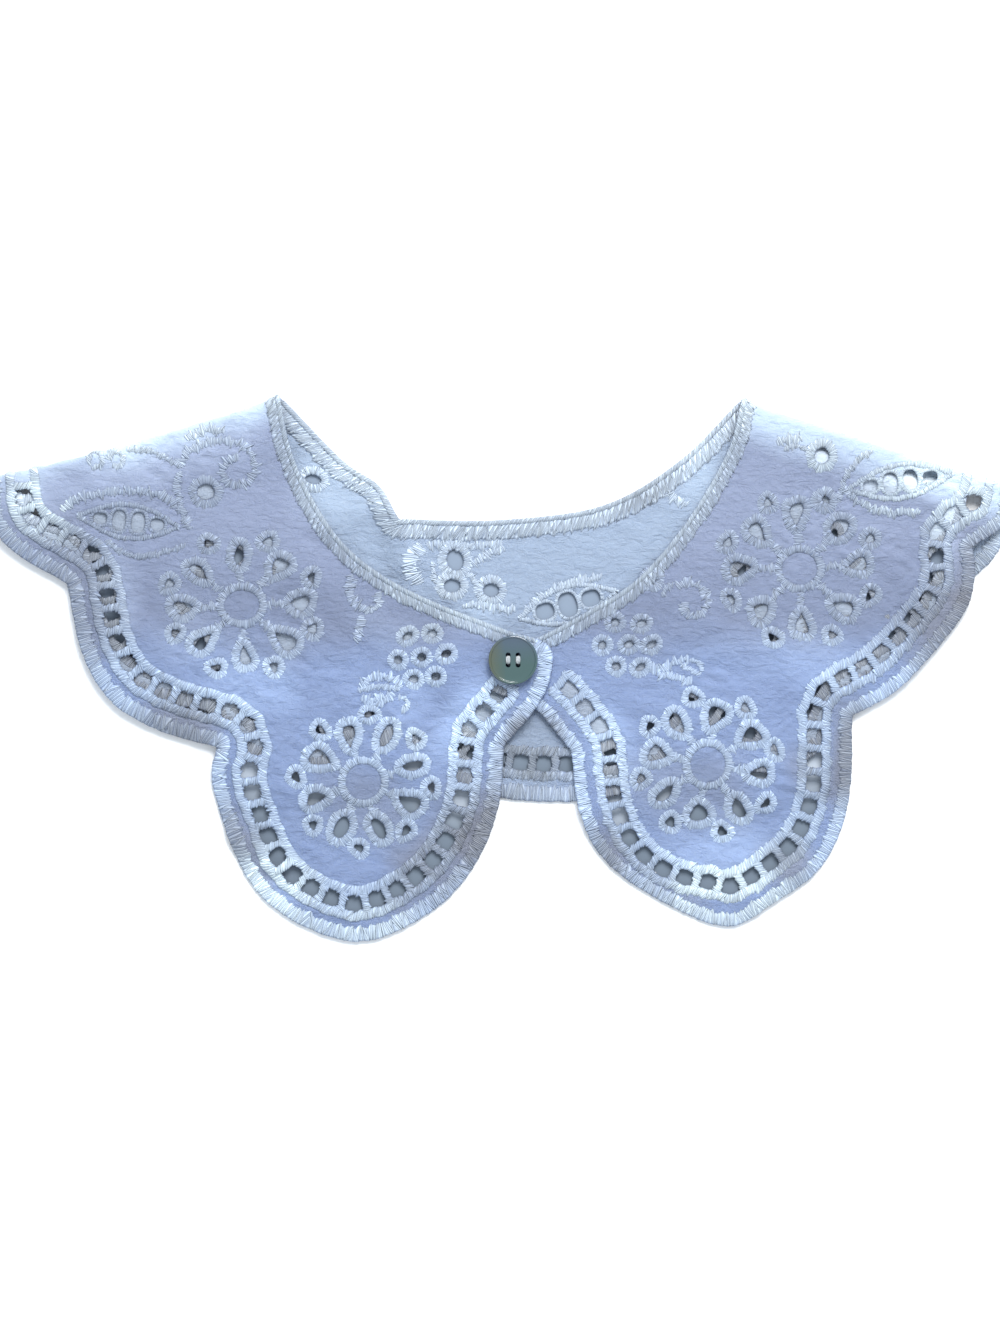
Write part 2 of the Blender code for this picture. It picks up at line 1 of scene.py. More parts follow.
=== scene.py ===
"""Looks of a lace collar: eyelet cotton with satin-stitched edges, laid flat and buttoned.

The collar is a ring folded over at both shoulders, so its two fronts lie on its back.
Its cloth, its worked edges and all its embroidery are worked out on the flat cut of
each panel and then laid where the panel's solid lies: a point of the flat cut goes
round the shoulder fold and up over whatever is under it.  Lengths are in millimetres
until a mesh is written, and a lift is the height above the panel's lower face.
"""
import logging
import math
from dataclasses import dataclass, field, replace
from enum import Enum
from functools import partial
from typing import Callable, Sequence

import bpy
import numpy as np
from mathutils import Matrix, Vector


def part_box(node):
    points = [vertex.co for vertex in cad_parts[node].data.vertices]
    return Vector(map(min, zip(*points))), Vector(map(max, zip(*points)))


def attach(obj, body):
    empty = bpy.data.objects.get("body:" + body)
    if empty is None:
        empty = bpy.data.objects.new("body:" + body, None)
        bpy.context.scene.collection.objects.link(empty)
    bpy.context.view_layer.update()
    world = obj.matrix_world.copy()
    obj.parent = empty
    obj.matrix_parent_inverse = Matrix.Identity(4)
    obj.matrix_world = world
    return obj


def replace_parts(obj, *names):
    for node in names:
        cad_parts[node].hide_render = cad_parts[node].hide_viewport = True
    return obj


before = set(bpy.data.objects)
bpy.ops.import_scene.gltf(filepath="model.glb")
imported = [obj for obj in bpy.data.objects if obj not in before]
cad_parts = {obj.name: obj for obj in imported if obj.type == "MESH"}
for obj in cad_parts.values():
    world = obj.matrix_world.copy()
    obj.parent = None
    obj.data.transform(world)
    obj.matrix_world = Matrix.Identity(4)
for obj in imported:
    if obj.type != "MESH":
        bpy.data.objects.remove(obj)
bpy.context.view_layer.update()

log = logging.getLogger("lace_collar")

Array = np.ndarray
Point = tuple[float, float]
Knots = tuple[Point, ...]
Colour = tuple[float, float, float]
Mesh = bpy.types.Mesh
Object = bpy.types.Object
Material = bpy.types.Material
Socket = bpy.types.NodeSocket

MM = 0.001
BODY = "root"

# Cloth and its layers
WALL = 1.1                       # plain cloth of the solid
EDGE_RISE = 0.4                  # worked edge, above the plain cloth
LAYER = WALL + EDGE_RISE + 0.3   # from one layer's lower face to the next one's
CLOTH_LOW = 0.25                 # lift of the shell's lower side
CLOTH_THICK = 0.6
CLOTH_INSET = 0.9                # how far the cloth stops inside the worked edge
HOLE_SPARE = 0.3                 # how far it stops outside a hole's rim
CRINKLE = 0.5                    # rise of the crinkles
SWELL = 0.34                     # rise of the slow swell in the fronts
NESTLE = 0.85                    # how far cloth rises towards a layer that lies on it
COMB_INSET = 0.9                 # from the neck edge to the comb of stitches along it
RIM_OVER = 0.2                   # how far a rim's stitches reach over its hole's edge
PRESSED = 0.6                    # share of its stitching's rise that it loses there
OVERLAP = (2.0, 9.0)             # depths under a layer between which cloth comes to be covered
CLEAR_SHARE = 0.985              # share of an inset that its path has to be clear of the edge by

# Shoulder folds
FOLD_OUTER = 2.0                 # radius of the outer face
FOLD_INNER = FOLD_OUTER - WALL
FOLD_STRAIGHT = 0.6              # upright stretch on each side of the parting
FOLD_RELAX = 26.0                # reach over which a front settles on the back
STEP = (-15.0, -3.0)             # depths outside a lower layer between which the cloth climbs

# Ladder of holes inside the scalloped edge
COARSE_STEP = 3.9
FINE_STEP = 1.0
LADDER_INSET = 11.3
LADDER_PITCH = 6.95
LADDER_LENGTH = 5.3
LADDER_WIDTH = 5.1
CORD_INSETS = (7.7, 14.9)        # middle lines of its two cords
CORD_CLEAR = 3.95                # from a hole's middle
CORD_LEAD = 5.0                  # how far before the first hole a front's cords start
BAR_SHORT = 0.3                  # how far a bar ends short of a cord's middle line

# Flowers and eyelets
PETALS = 8
STEM_GAP = (0.6, 0.9)            # from a stem's ends to the ring and to the petal
PETAL_LENGTH = 6.1
PETAL_WIDTH = 4.0
RING_RADIUS = 6.5
OUTER_EYELET_REACH = 5.2         # beyond the petals
EYELET_LENGTH = 3.3
EYELET_WIDTH = 2.7
CLUSTER_REACH = 7.4
CLUSTER_LENGTH = 3.1
CLUSTER_WIDTH = 2.6
LEAF_BAR = 1.3                   # between two holes of a leaf
LEAF_RIM = 1.6

# Button
BUTTON_AT = (3.9, 2.7)
SHANK_SLOT_RADIUS = 2.2


# ---------------- what is worked on the cloth

@dataclass(frozen=True)
class Stitch:
    """One kind of stitching: a band of threads laid side by side across its middle line.

    width and pitch are the band's width and the run that one stitch takes; crown and
    base are the lifts of its upper and lower side; groove is how deep it dips between
    two stitches and pinch how much narrower it is there, on a loose side; slant is how
    far a stitch leans along the band for each millimetre across, and sway how unevenly;
    ragged is how uneven the stitches' ends are; square shapes its section from an
    ellipse, 2, to a slab; lean is how much lower its loose side runs out; bright is
    how much lighter the band is painted, as painted light; flare widens the band's ends.
    """

    width: float
    crown: float
    pitch: float = 0.95
    base: float = 0.06
    groove: float = 0.4
    pinch: float = 0.22
    slant: float = 0.0
    sway: float = 0.16
    ragged: float = 0.16
    square: float = 2.4
    lean: float = 0.0
    bright: float = 0.0
    flare: float = 0.0


class Work(Enum):
    """The kinds of stitching on the collar."""

    SCALLOP = Stitch(4.7, 1.5, base=0.02, square=3.0, groove=0.24, pinch=0.16, sway=0.24, lean=0.3)
    # The neck cord and its comb are painted lighter: painted light.
    NECK_CORD = Stitch(1.8, 1.7, 0.7, base=0.02, slant=0.8, groove=0.2, pinch=0.1, ragged=0.06, bright=0.45)
    NECK_COMB = Stitch(3.8, 1.5, 0.62, square=2.6, groove=0.24, pinch=0.12, slant=0.5, ragged=0.14, sway=0.3,
                       lean=0.25, bright=0.2)
    CORD = Stitch(3.2, 1.5, 0.8, groove=0.16, pinch=0.12, slant=0.3, sway=0.25, ragged=0.17, lean=0.4)
    BAR = Stitch(2.4, 1.4, 0.75, groove=0.16, slant=0.5, flare=0.8, pinch=0.1, ragged=0.14)
    PETAL = Stitch(3.0, 1.35, 0.7, groove=0.15, pinch=0.1, ragged=0.17, sway=0.22, lean=0.5)
    EYELET = Stitch(2.6, 1.22, 0.7, groove=0.15, pinch=0.1, ragged=0.17, sway=0.22, lean=0.5)
    RING = Stitch(2.7, 1.4, 0.8, groove=0.16, pinch=0.14, ragged=0.2, slant=0.1, sway=0.2, lean=0.3)
    STEM = Stitch(2.9, 1.16, 0.8, groove=0.16, pinch=0.3, ragged=0.36, sway=0.3)
    LEAF = Stitch(1.8, 1.3, 0.75, groove=0.18, ragged=0.2)
    COMB = Stitch(3.0, 1.25, 0.9, square=2.8, groove=0.3, pinch=0.28, ragged=0.36, sway=0.3)
    FRINGE = Stitch(4.6, 1.2, square=3.0, groove=0.36, pinch=0.26, ragged=0.3, sway=0.25)
    TRAIL = Stitch(2.0, 1.25, 0.8, groove=0.24, pinch=0.22, ragged=0.32, slant=0.3, sway=0.3)


def turned(u: Array, v: Array, degrees: float) -> tuple[Array, Array]:
    """Coordinates (u, v) turned by an angle."""
    c, s = math.cos(math.radians(degrees)), math.sin(math.radians(degrees))
    return c * u - s * v, s * u + c * v


@dataclass(frozen=True)
class Hole:
    """A worked hole: its middle, size and turn, how egg-shaped it is, how square and how uneven."""

    x: float
    y: float
    length: float
    width: float
    turn: float = 0.0
    egg: float = 0.0
    square: float = 2.0
    wobble: float = 0.0
    phase: float = 0.0

    def bulge(self, a: Array) -> Array:
        """How far the rim is out at angle a: 1 + wobble·(cos(2a + phase) + cos(3a - 2·phase))."""
        return 1.0 + self.wobble * (np.cos(2.0 * a + self.phase) + np.cos(3.0 * a - 2.0 * self.phase))

    def loop(self, grow: float, step: float = 0.3) -> Array:
        """Closed path round the hole, grown outwards.

        At angle a it is at (A·|cos a|^(2/n), B·|sin a|^(2/n)·(1 + egg·cos a)) times its
        bulge there, where A and B are the half sizes and n is how square the hole is.

        Args:
            grow: how far out from the rim.
            step: rough distance between its points.

        Returns:
            Its points, with the first again at the end.
        """
        half_length, half_width = 0.5 * self.length + grow, 0.5 * self.width + grow
        sides = max(12, round(math.tau * 0.5 * (half_length + half_width) / step))
        a = np.linspace(0.0, math.tau, sides + 1)
        c, s = np.cos(a), np.sin(a)
        power = 2.0 / self.square
        u = half_length * np.sign(c) * np.abs(c)**power * self.bulge(a)
        v = half_width * np.sign(s) * np.abs(s)**power * (1.0 + self.egg * c) * self.bulge(a)
        u, v = turned(u, v, self.turn)
        return np.stack([self.x + u, self.y + v], axis=1)

    def clearance(self, x: Array, y: Array) -> Array:
        """Roughly the distance out from the hole's rim, negative inside it.

        Args:
            x: where to measure, along X.
            y: the same along Y.

        Returns:
            Distances in millimetres.
        """
        u, v = turned(x - self.x, y - self.y, -self.turn)
        half_length, half_width = 0.5 * self.length, 0.5 * self.width
        widened = half_width * np.clip(1.0 + self.egg * u / half_length, 0.3, 2.0)
        reach = (np.abs(u / half_length)**self.square + np.abs(v / widened)**self.square)**(1.0 / self.square)
        reach = reach / self.bulge(np.arctan2(v / half_width, u / half_length))
        return (reach - 1.0) * min(half_length, half_width)


@dataclass(frozen=True)
class Flower:
    """Petal holes round a plain disc: its middle, the petals' reach, and its turn in degrees."""

    x: float
    y: float
    reach_x: float
    reach_y: float
    turn: float

    def whorl(self, half_turn: float, beyond: float, stray: Array) -> tuple[Array, Array, Array]:
        """Turn in degrees and place of each of a whorl's holes.

        Args:
            half_turn: its first hole's turn past the flower's own, in holes.
            beyond: how far outside the petals it is.
            stray: how far each hole strays from its even place, along X and Y.

        Returns:
            The holes' turns, x and y.
        """
        turn = self.turn + (np.arange(PETALS) + half_turn) * 360.0 / PETALS
        return (turn, self.x + (self.reach_x + beyond) * np.cos(np.radians(turn)) + stray[:, 0],
                self.y + (self.reach_y + beyond) * np.sin(np.radians(turn)) + stray[:, 1])


@dataclass(frozen=True)
class Leaf:
    """A pointed outline from root to tip with a row of holes along its middle."""

    x: float
    y: float
    end_x: float
    end_y: float
    width: float
    gaps: int

    def holes(self) -> list[Hole]:
        """Tall holes side by side along the middle, lower towards both ends.

        Returns:
            The holes, from root to tip.
        """
        span_x, span_y = self.end_x - self.x, self.end_y - self.y
        share = np.arange(1, self.gaps + 1) / (self.gaps + 1.0)
        length = math.hypot(span_x, span_y) / (self.gaps + 1.0) - LEAF_BAR
        heights = 0.9 * self.width * np.sin(math.pi * share) - 0.8
        return [Hole(x, y, length, height, math.degrees(math.atan2(span_y, span_x)), square=2.4)
                for x, y, height in zip(self.x + share * span_x, self.y + share * span_y, heights)]

    def outline(self, grow: float) -> Array:
        """Closed path of the outline, grown outwards: half the width times sin(pi·share) to each side.

        Args:
            grow: how far out from the leaf.

        Returns:
            Its points, with the first again at the end.
        """
        root, tip = np.array([self.x, self.y]), np.array([self.end_x, self.end_y])
        length = np.linalg.norm(tip - root)
        along = (tip - root) / length
        across = np.array([-along[1], along[0]])
        share = np.linspace(0.0, 1.0, 60)[:-1]
        half = ((0.5 * self.width + grow) * np.sin(math.pi * share))[:, None] * across
        run = share * (length + 2 * grow) - grow
        loop = np.vstack([root + run[:, None] * along + half, root + (length - run)[:, None] * along - half])
        return np.vstack([loop, loop[:1]])


@dataclass(frozen=True)
class Cluster:
    """Six small eyelets round a seventh."""

    x: float
    y: float
    turn: float


@dataclass(frozen=True)
class Nudge:
    """Where a panel's ladder strays from its even distance to the edge, and by how much."""

    x: float
    y: float
    radius: float
    shift_x: float
    shift_y: float


@dataclass(frozen=True)
class Ridge:
    """A soft fold in the cloth, from one point to another."""

    panels: tuple[str, ...]
    x: float
    y: float
    end_x: float
    end_y: float
    half_width: float
    rise: float


@dataclass(frozen=True)
class Patch:
    """A soft oval patch of painted shade, where the collar is darker, or of painted light, where it is paler
    or brighter (lit).
    """

    x: float
    y: float
    radius_x: float
    radius_y: float
    turn: float
    strength: float


@dataclass(frozen=True)
class Plan:
    """A panel's cut and all that is worked on it, in millimetres.

    folds and beneath name the shoulder folds that it ends at and the panels under it;
    inward is 1 where the cloth lies to the left of its edges and -1 to the right;
    first_gap is the ladder's run before its first hole; roll_radius is what its lower
    face rolls round at a fold; cell is its mesh's.  neck and scallops are the smooth
    runs of its worked edge, and each stroke is a line of stitching through its knots.
    """

    folds: tuple[str, ...]
    inward: int
    first_gap: float
    roll_radius: float
    seed: int
    cell: float
    neck: tuple[Knots, ...]
    scallops: tuple[Knots, ...]
    flowers: tuple[Flower, ...]
    leaves: tuple[Leaf, ...]
    eyelets: tuple[Hole, ...]
    strokes: tuple[tuple[Work, Knots], ...]
    beneath: tuple[str, ...] = ()
    clusters: tuple[Cluster, ...] = ()
    nudges: tuple[Nudge, ...] = ()
    scallop_width: float = 4.7
    comb_width: float = 3.8


COMB, FRINGE, TRAIL = Work.COMB, Work.FRINGE, Work.TRAIL

PLANS = {
    "back": Plan(
        folds=("left", "right"), inward=1, first_gap=LADDER_PITCH, roll_radius=FOLD_OUTER, seed=300,
        cell=0.9, comb_width=5.2,
        neck=(
            ((72.4, 81), (54, 62.6), (31, 49.2), (0, 44.8), (-30.3, 45)),
            ((-30.3, 45), (-36.5, 55.2), (-47.4, 62.8), (-66, 82)),
        ),
        scallops=(
            ((-154.2, 57.4), (-148, 41.6), (-132, 32.6)),
            ((-132, 32.6), (-124, 5.8), (-108, -8.6), (-88.5, -12.4)),
            ((-88.5, -12.4), (-76, -26.4), (-57, -31.4), (-30.6, -21.9)),
            ((-30.6, -21.9), (-12, -35.4), (12, -39.8), (38, -37), (57, -21.9)),
            ((57, -21.9), (78, -31.2), (97, -24), (104, -9.6)),
            ((104, -9.6), (126, 4.7), (138.4, 24)),
            ((138.4, 24), (150, 36), (154.2, 54.8)),
        ),
        flowers=(Flower(-90, 22, 16, 15.2, 0), Flower(92, 22, 16, 15.2, 0)),
        leaves=(Leaf(6.6, 15.4, 34.2, 23.2, 9.4, 3),),
        eyelets=(
            Hole(-13.5, 32.7, 5.2, 6.6, 12), Hole(-14.4, 25, 5.2, 4.2, 0), Hole(-2.7, 23.7, 5, 4.2, 0),
            Hole(-56.1, 57, 5, 3, -12),
        ),
        strokes=(
            # what shows inside the neck
            (FRINGE, ((-24.3, 37.6), (-26.4, 33.9), (-26.4, 29.4), (-24.3, 25.2))),
            (COMB, ((-22.6, 36.9), (-17.4, 37.8), (-9, 37.2), (0.6, 37.4))),
            (COMB, ((-9.3, 31.2), (-4.5, 34), (1.2, 36.6))),
            (TRAIL, ((-19.8, 32.1), (-20.1, 28.8), (-19.5, 25.5))),
            (TRAIL, ((-10.2, 28.8), (-7.8, 27), (-6.9, 24.9))),
            (COMB, ((7.4, 17.4), (12.6, 22), (20.4, 25.6), (30.6, 27.6))),
            (COMB, ((-11.4, 18.9), (-6, 19.4), (0, 18.3), (4.8, 17.7))),
            (COMB, ((49.8, 53.7), (52.8, 50.7), (56.7, 49.5))),
        ),
    ),
    "right_front": Plan(
        folds=("right",), beneath=("back",), inward=1, first_gap=14, roll_radius=FOLD_INNER, seed=200,
        cell=0.64, scallop_width=4.1,
        neck=(
            ((72.4, 81), (68, 65), (55.5, 43.8), (41, 27), (25.5, 17), (8, 8), (-5, 4.6)),
        ),
        scallops=(
            ((-5, 4.6), (-9.6, 1.6), (-8.6, -4), (2, -8.4), (11.1, -12.6), (21.3, -24.6)),
            ((21.3, -24.6), (23.6, -42), (31, -57), (47, -69), (68, -77.4), (82, -70.2), (97, -58.6),
             (104.6, -40), (105.6, -14.1)),
            ((105.6, -14.1), (120.6, -5), (138.4, 15.6), (142.4, 28), (141.6, 36.6)),
            ((141.6, 36.6), (151.6, 44), (154.2, 54.8)),
        ),
        flowers=(Flower(62.3, -28.6, 15.3, 15.3, 34.6), Flower(89.8, 30.1, 17.8, 16.6, 2.2)),
        leaves=(Leaf(105, 54, 134.6, 58.4, 8.2, 4),),
        clusters=(Cluster(38.4, 7.2, 0),),
        eyelets=(Hole(96.3, 63.9, 4.6, 5, 0), Hole(97.2, 50.4, 3.4, 3.2, 0), Hole(45.6, 26.9, 2.4, 3, 0)),
        nudges=(Nudge(49, -57.5, 13, -1.7, -2), Nudge(76, -61.5, 8, 0.4, -1.1), Nudge(65, -66, 6, 0, 1.4)),
        strokes=(
            # spray over the lower flower
            (COMB, ((44.4, 0), (48.6, 0.3), (52.8, 2.1), (56.7, 3.3))),
            (TRAIL, ((54, 1.2), (57, 0), (60, -1.8))),
            (COMB, ((47.1, -1.8), (50.4, -2.2), (54, -3), (57.6, -4.2))),
            (TRAIL, ((56.7, 3), (59.7, 1.8), (60.6, -0.9))),
            # curl beside the upper flower
            (COMB, ((53.1, 24), (54.6, 25.4), (57, 25.8), (59.7, 24.6), (61.8, 22.2), (62.2, 19.5),
             (60.6, 17.1), (57.9, 15.9), (55.5, 17.4), (54.9, 20.1))),
            (TRAIL, ((48.6, 21.6), (50.1, 24), (52, 25.6))),
            # the leaf's outer line, stem and spray
            (COMB, ((102.6, 54.6), (105.6, 51.3), (111, 48.3), (117.6, 47.1), (126, 47.1))),
            (TRAIL, ((111.6, 65.4), (108, 63.3), (104.7, 59.7), (102.6, 55.2), (101.4, 50.1))),
            (COMB, ((82.8, 67.8), (86.4, 68.7), (90.3, 69.3))),
            (TRAIL, ((84.9, 65.6), (88.5, 66.9), (91.8, 65.6))),
        ),
    ),
    "left_front": Plan(
        folds=("left",), beneath=("back", "right_front"), inward=-1, first_gap=8, roll_radius=FOLD_INNER,
        seed=100, cell=0.64,
        neck=(
            ((-66, 82), (-62.6, 66), (-56, 51), (-46, 36.8), (-32.7, 26.6), (-16, 18.6), (2, 11.6),
             (11, 9.2)),
        ),
        scallops=(
            ((11, 9.2), (15.2, 6.4), (15.6, 0), (12, -10), (1.2, -23.1)),
            ((1.2, -23.1), (-0.6, -42), (-8.6, -60.6), (-22, -73.8), (-41, -81.8), (-60, -76.8),
             (-74.6, -65), (-83.4, -45), (-86.6, -32), (-84.9, -23.4)),
            ((-84.9, -23.4), (-102, -18.4), (-116.5, -9.8), (-125.4, 5), (-129.6, 25.5)),
            ((-129.6, 25.5), (-145.6, 35), (-152.6, 44), (-154.2, 57.4)),
        ),
        flowers=(Flower(-41, -33.7, 14.9, 14.9, 18), Flower(-77.4, 19.1, 17.5, 15.2, 3)),
        leaves=(Leaf(-125.6, 45.9, -97, 42.6, 8.6, 4),),
        clusters=(Cluster(-23.1, 3.9, 7),),
        eyelets=(Hole(-88.2, 53.1, 5.4, 5, 0),),
        strokes=(
            # spray over the lower flower
            (COMB, ((-41.7, -5.7), (-39, -2.7), (-34.8, -2.1), (-31.2, -3.6), (-29.4, -5.7))),
            (TRAIL, ((-42.6, -6.4), (-39, -5.4), (-33, -5.6), (-30, -6.4))),
            (COMB, ((-41.7, -8.7), (-38.4, -9.3), (-34.2, -8.4), (-32.1, -6.9))),
            (TRAIL, ((-40.8, -12.6), (-38.4, -10.8), (-35.4, -10.2), (-33.9, -8.7))),
            (TRAIL, ((-30.6, -8.4), (-28.2, -9), (-27.9, -11.4), (-29.7, -12.6))),
            # curl and its stem, below the neck edge
            (COMB, ((-44.4, 28.5), (-45, 23.7), (-42.9, 19.5), (-39, 17.4), (-36.3, 19.8), (-36.6, 23.1))),
            (COMB, ((-41.4, 16.2), (-41.7, 12.3), (-43.2, 8.1))),
            # the leaf's outer lines, stem and curls
            (COMB, ((-131.4, 47.4), (-127.5, 50.4), (-121.5, 52.5), (-112.5, 53.4), (-104.4, 52.8),
             (-99, 50.7), (-95.7, 47.1))),
            (TRAIL, ((-118.2, 38.7), (-114, 35.4), (-108.9, 33.6), (-103.5, 34.2), (-98.4, 35.7),
             (-94.2, 37.2))),
            (COMB, ((-95.4, 59.4), (-96.6, 56.1), (-96.3, 51.6), (-95.4, 47.1), (-93, 41.7))),
            (TRAIL, ((-111.6, 65.7), (-104.4, 65.1), (-99, 62.7), (-95.4, 60.3))),
            (COMB, ((-96, 60.6), (-94.4, 63.9), (-91.2, 66.3), (-85.5, 68.2), (-79, 67.8), (-74.6, 64.5),
             (-73.3, 59.7), (-76, 55.8), (-80.2, 55.2), (-83.1, 58.3), (-81.6, 62.4), (-78.2, 63.9))),
            (COMB, ((-94.2, 69), (-90, 71), (-85.8, 71.7), (-82.2, 71.1))),
            (TRAIL, ((-123.2, 61.4), (-121.8, 64.3), (-119, 63.6), (-119.6, 60.9), (-122.2, 60.2))),
            (TRAIL, ((-117.2, 62.4), (-115.4, 64.9), (-112.9, 63.8), (-113.4, 61.2), (-116, 60.6))),
        ),
    ),
}

RIDGES = (
    Ridge(("back",), -31.5, 48, -27.5, 33, 8.5, 2.6),
    Ridge(("left_front",), -79, -50, -64, -60, 6, 1.6),
    Ridge(("left_front", "right_front"), -60, 30, -22, 4, 11, 1),
    Ridge(("right_front",), 52, 20, 96, -4, 12, 1),
    Ridge(("right_front",), 90, -60, 76, -70, 6, 1.2),
    Ridge(("left_front",), -120, 20, -96, -2, 9, 1),
    Ridge(("back", "left_front"), -53, 44, -30, 50, 8, 1),
)

# Soft oval patches, each x, y, radius_x, radius_y, turn and strength: the darker ones painted shade, the pale
# and lit ones painted light.
PATCHES = {kind: [Patch(*row) for row in rows] for kind, rows in {
    "PaintedShade": (
        (-130, 22, 14, 24, 10, 0.3), (133, 9, 13, 17, -25, 0.7),
        (-10, -51, 17, 32, -40, 0.95), (12, -24, 9, 10, 0, 0.7), (-42, -40, 17, 15, 0, 0.4),
        (57, -36, 20, 13, 0, 0.35), (86, -59, 9, 9, 0, 0.7), (92, -30, 9, 9, 0, 0.6),
        (-79, -49, 8, 14, 30, 0.75), (-96, -17, 15, 8, -22, 0.75),
        (104, -24, 8, 17, 0, 0.85), (44, -63, 19, 8, -35, 0.4), (42, 54, 13, 7, 25, 0.6),
        (30, -54, 8, 12, 0, 0.4), (144, 30, 9, 12, 0, 0.6),
    ),
    "Pale": (
        (73, -68, 20, 11, 0, 1), (-66, -65, 16, 12, -35, 0.8), (-38, -78, 18, 8, 0, 0.7),
        (128, 55, 24, 13, -12, 1), (97, 63, 8, 8, 0, 0.8), (-139, 49, 13, 12, -40, 0.8),
        (-22, 20, 14, 11, 0, 0.35), (-26, -16, 9, 16, -30, 0.35),
    ),
    "Lit": (
        (132, 37, 7, 10, 0, 0.8), (-114, 22, 7, 20, 5, 0.6), (-140, 55, 16, 7, 14, 0.6),
        (68, -58, 24, 10, 0, 0.9), (-11.5, -15, 10, 17, -25, 1), (33, -24, 8, 11, 15, 0.6),
        (-108, 61, 44, 9, 14, 0.7), (-48, 58, 13, 13, 0, 0.55), (60, 62, 8, 14, 0, 0.6),
        (129, 56, 18, 9, -15, 0.8), (-34, 10, 12, 6, -35, 0.4), (-26, -10, 12, 9, 45, 0.5),
        (-66, -63, 11, 9, -40, 0.9), (-75, -6, 14, 9, 0, 0.65), (-92, 9, 16, 8, 0, 0.3),
        (74, 5, 18, 8, 0, 0.3), (96, 3, 15, 9, 0, 0.5), (-6, 15, 9, 7, 0, 0.6),
    ),
}.items()}


# ---------------- plane geometry

def ease(value: Array, low: float, high: float) -> Array:
    """Smooth climb from 0 at low to 1 at high: t²(3 - 2t)."""
    t = np.clip((value - low) / (high - low), 0.0, 1.0)
    return t * t * (3.0 - 2.0 * t)


def run_length(path: Array) -> Array:
    """Distance along the path at each of its points."""
    return np.r_[0.0, np.cumsum(np.linalg.norm(np.diff(path, axis=0), axis=1))]


def at_runs(path: Array, at: Array) -> Array:
    """Points of the path at the given distances along it."""
    run = run_length(path)
    return np.stack([np.interp(at, run, column) for column in path.T], axis=-1)


def even_steps(path: Array, step: float) -> Array:
    """The path again, with its points an even distance apart."""
    total = run_length(path)[-1]
    return at_runs(path, np.linspace(0.0, total, max(2, round(total / step)) + 1))


def smooth_run(knots: Knots, step: float) -> Array:
    """Points at even steps along the smooth curve through the knots.

    Between knots b and c, with a before and d after, the curve is
    (2b + (c-a)t + (2a-5b+4c-d)t² + (3b-a-3c+d)t³) / 2.

    Args:
        knots: the points that it goes through.
        step: distance between its points.

    Returns:
        Its points.
    """
    k = np.asarray(knots, float)
    k = np.vstack([2 * k[0] - k[1], k, 2 * k[-1] - k[-2]])
    a, b, c, d = (k[i:len(k) - 3 + i][:, None] for i in range(4))
    t = np.linspace(0.0, 1.0, 20, endpoint=False)[None, :, None]
    fine = 0.5 * (2 * b + (c - a) * t + (2 * a - 5 * b + 4 * c - d) * t**2 + (3 * b - a - 3 * c + d) * t**3)
    return even_steps(np.vstack([fine.reshape(-1, 2), k[-2][None]]), step)


def left_of(step: Array) -> Array:
    """Unit vectors to the left of the given steps."""
    step = step / np.maximum(np.linalg.norm(step, axis=1), 1e-9)[:, None]
    return np.stack([-step[:, 1], step[:, 0]], axis=1)


def left_normals(path: Array, closed: bool = False) -> Array:
    """Unit vectors to the left of the path's direction of travel at each point.

    Args:
        path: the path's points.
        closed: whether its ends meet.

    Returns:
        A vector for each point.
    """
    if closed:
        return left_of(np.roll(path, -1, axis=0) - np.roll(path, 1, axis=0))
    return left_of(np.gradient(path, axis=0))


def in_blocks(points: Array, width: int, work: Callable[[Array], Array]) -> Array:
    """Work on the points in blocks, so that a block times width stays small."""
    blocks = max(1, len(points) * width // 3_000_000)
    return np.concatenate([work(block) for block in np.array_split(points, blocks)])


def distance_to(points: Array, path: Array) -> Array:
    """Distance from each point to the nearest place on the path.

    Args:
        points: where to measure from.
        path: the path's points.

    Returns:
        A distance for each point.
    """
    start, along = path[:-1], np.diff(path, axis=0)
    length_squared = np.maximum((along**2).sum(axis=1), 1e-12)

    def nearest(block: Array) -> Array:
        """Distances for one block, each point against each segment.

        Args:
            block: some of the points.

        Returns:
            Their distances.
        """
        away = block[:, None] - start
        t = np.clip((away * along).sum(axis=-1) / length_squared, 0.0, 1.0)
        return np.sqrt(((away - t[..., None] * along)**2).sum(axis=-1).min(axis=1))

    return in_blocks(points, len(start), nearest)


def is_inside(points: Array, loop: Array) -> Array:
    """Whether a ray along +X from each point crosses the closed loop an odd number of times.

    Args:
        points: the points to ask about.
        loop: the loop's corners.

    Returns:
        True or false for each point.
    """
    (x0, y0), (x1, y1) = loop.T, np.roll(loop, -1, axis=0).T
    slope = (x1 - x0) / np.where(y1 == y0, 1e-12, y1 - y0)

    def crossings(block: Array) -> Array:
        """Odd or even crossings for one block.

        Args:
            block: some of the points.

        Returns:
            Whether each is crossed an odd number of times.
        """
        x, y = block[:, :1], block[:, 1:]
        crossed = ((y0 > y) != (y1 > y)) & (x < slope * (y - y0) + x0)
        return crossed.sum(axis=1) % 2 == 1

    return in_blocks(points, len(loop), crossings)


def depth_inside(points: Array, loop: Array) -> Array:
    """Distance in from the loop, negative outside it."""
    return distance_to(points, np.vstack([loop, loop[:1]])) * np.where(is_inside(points, loop), 1.0, -1.0)


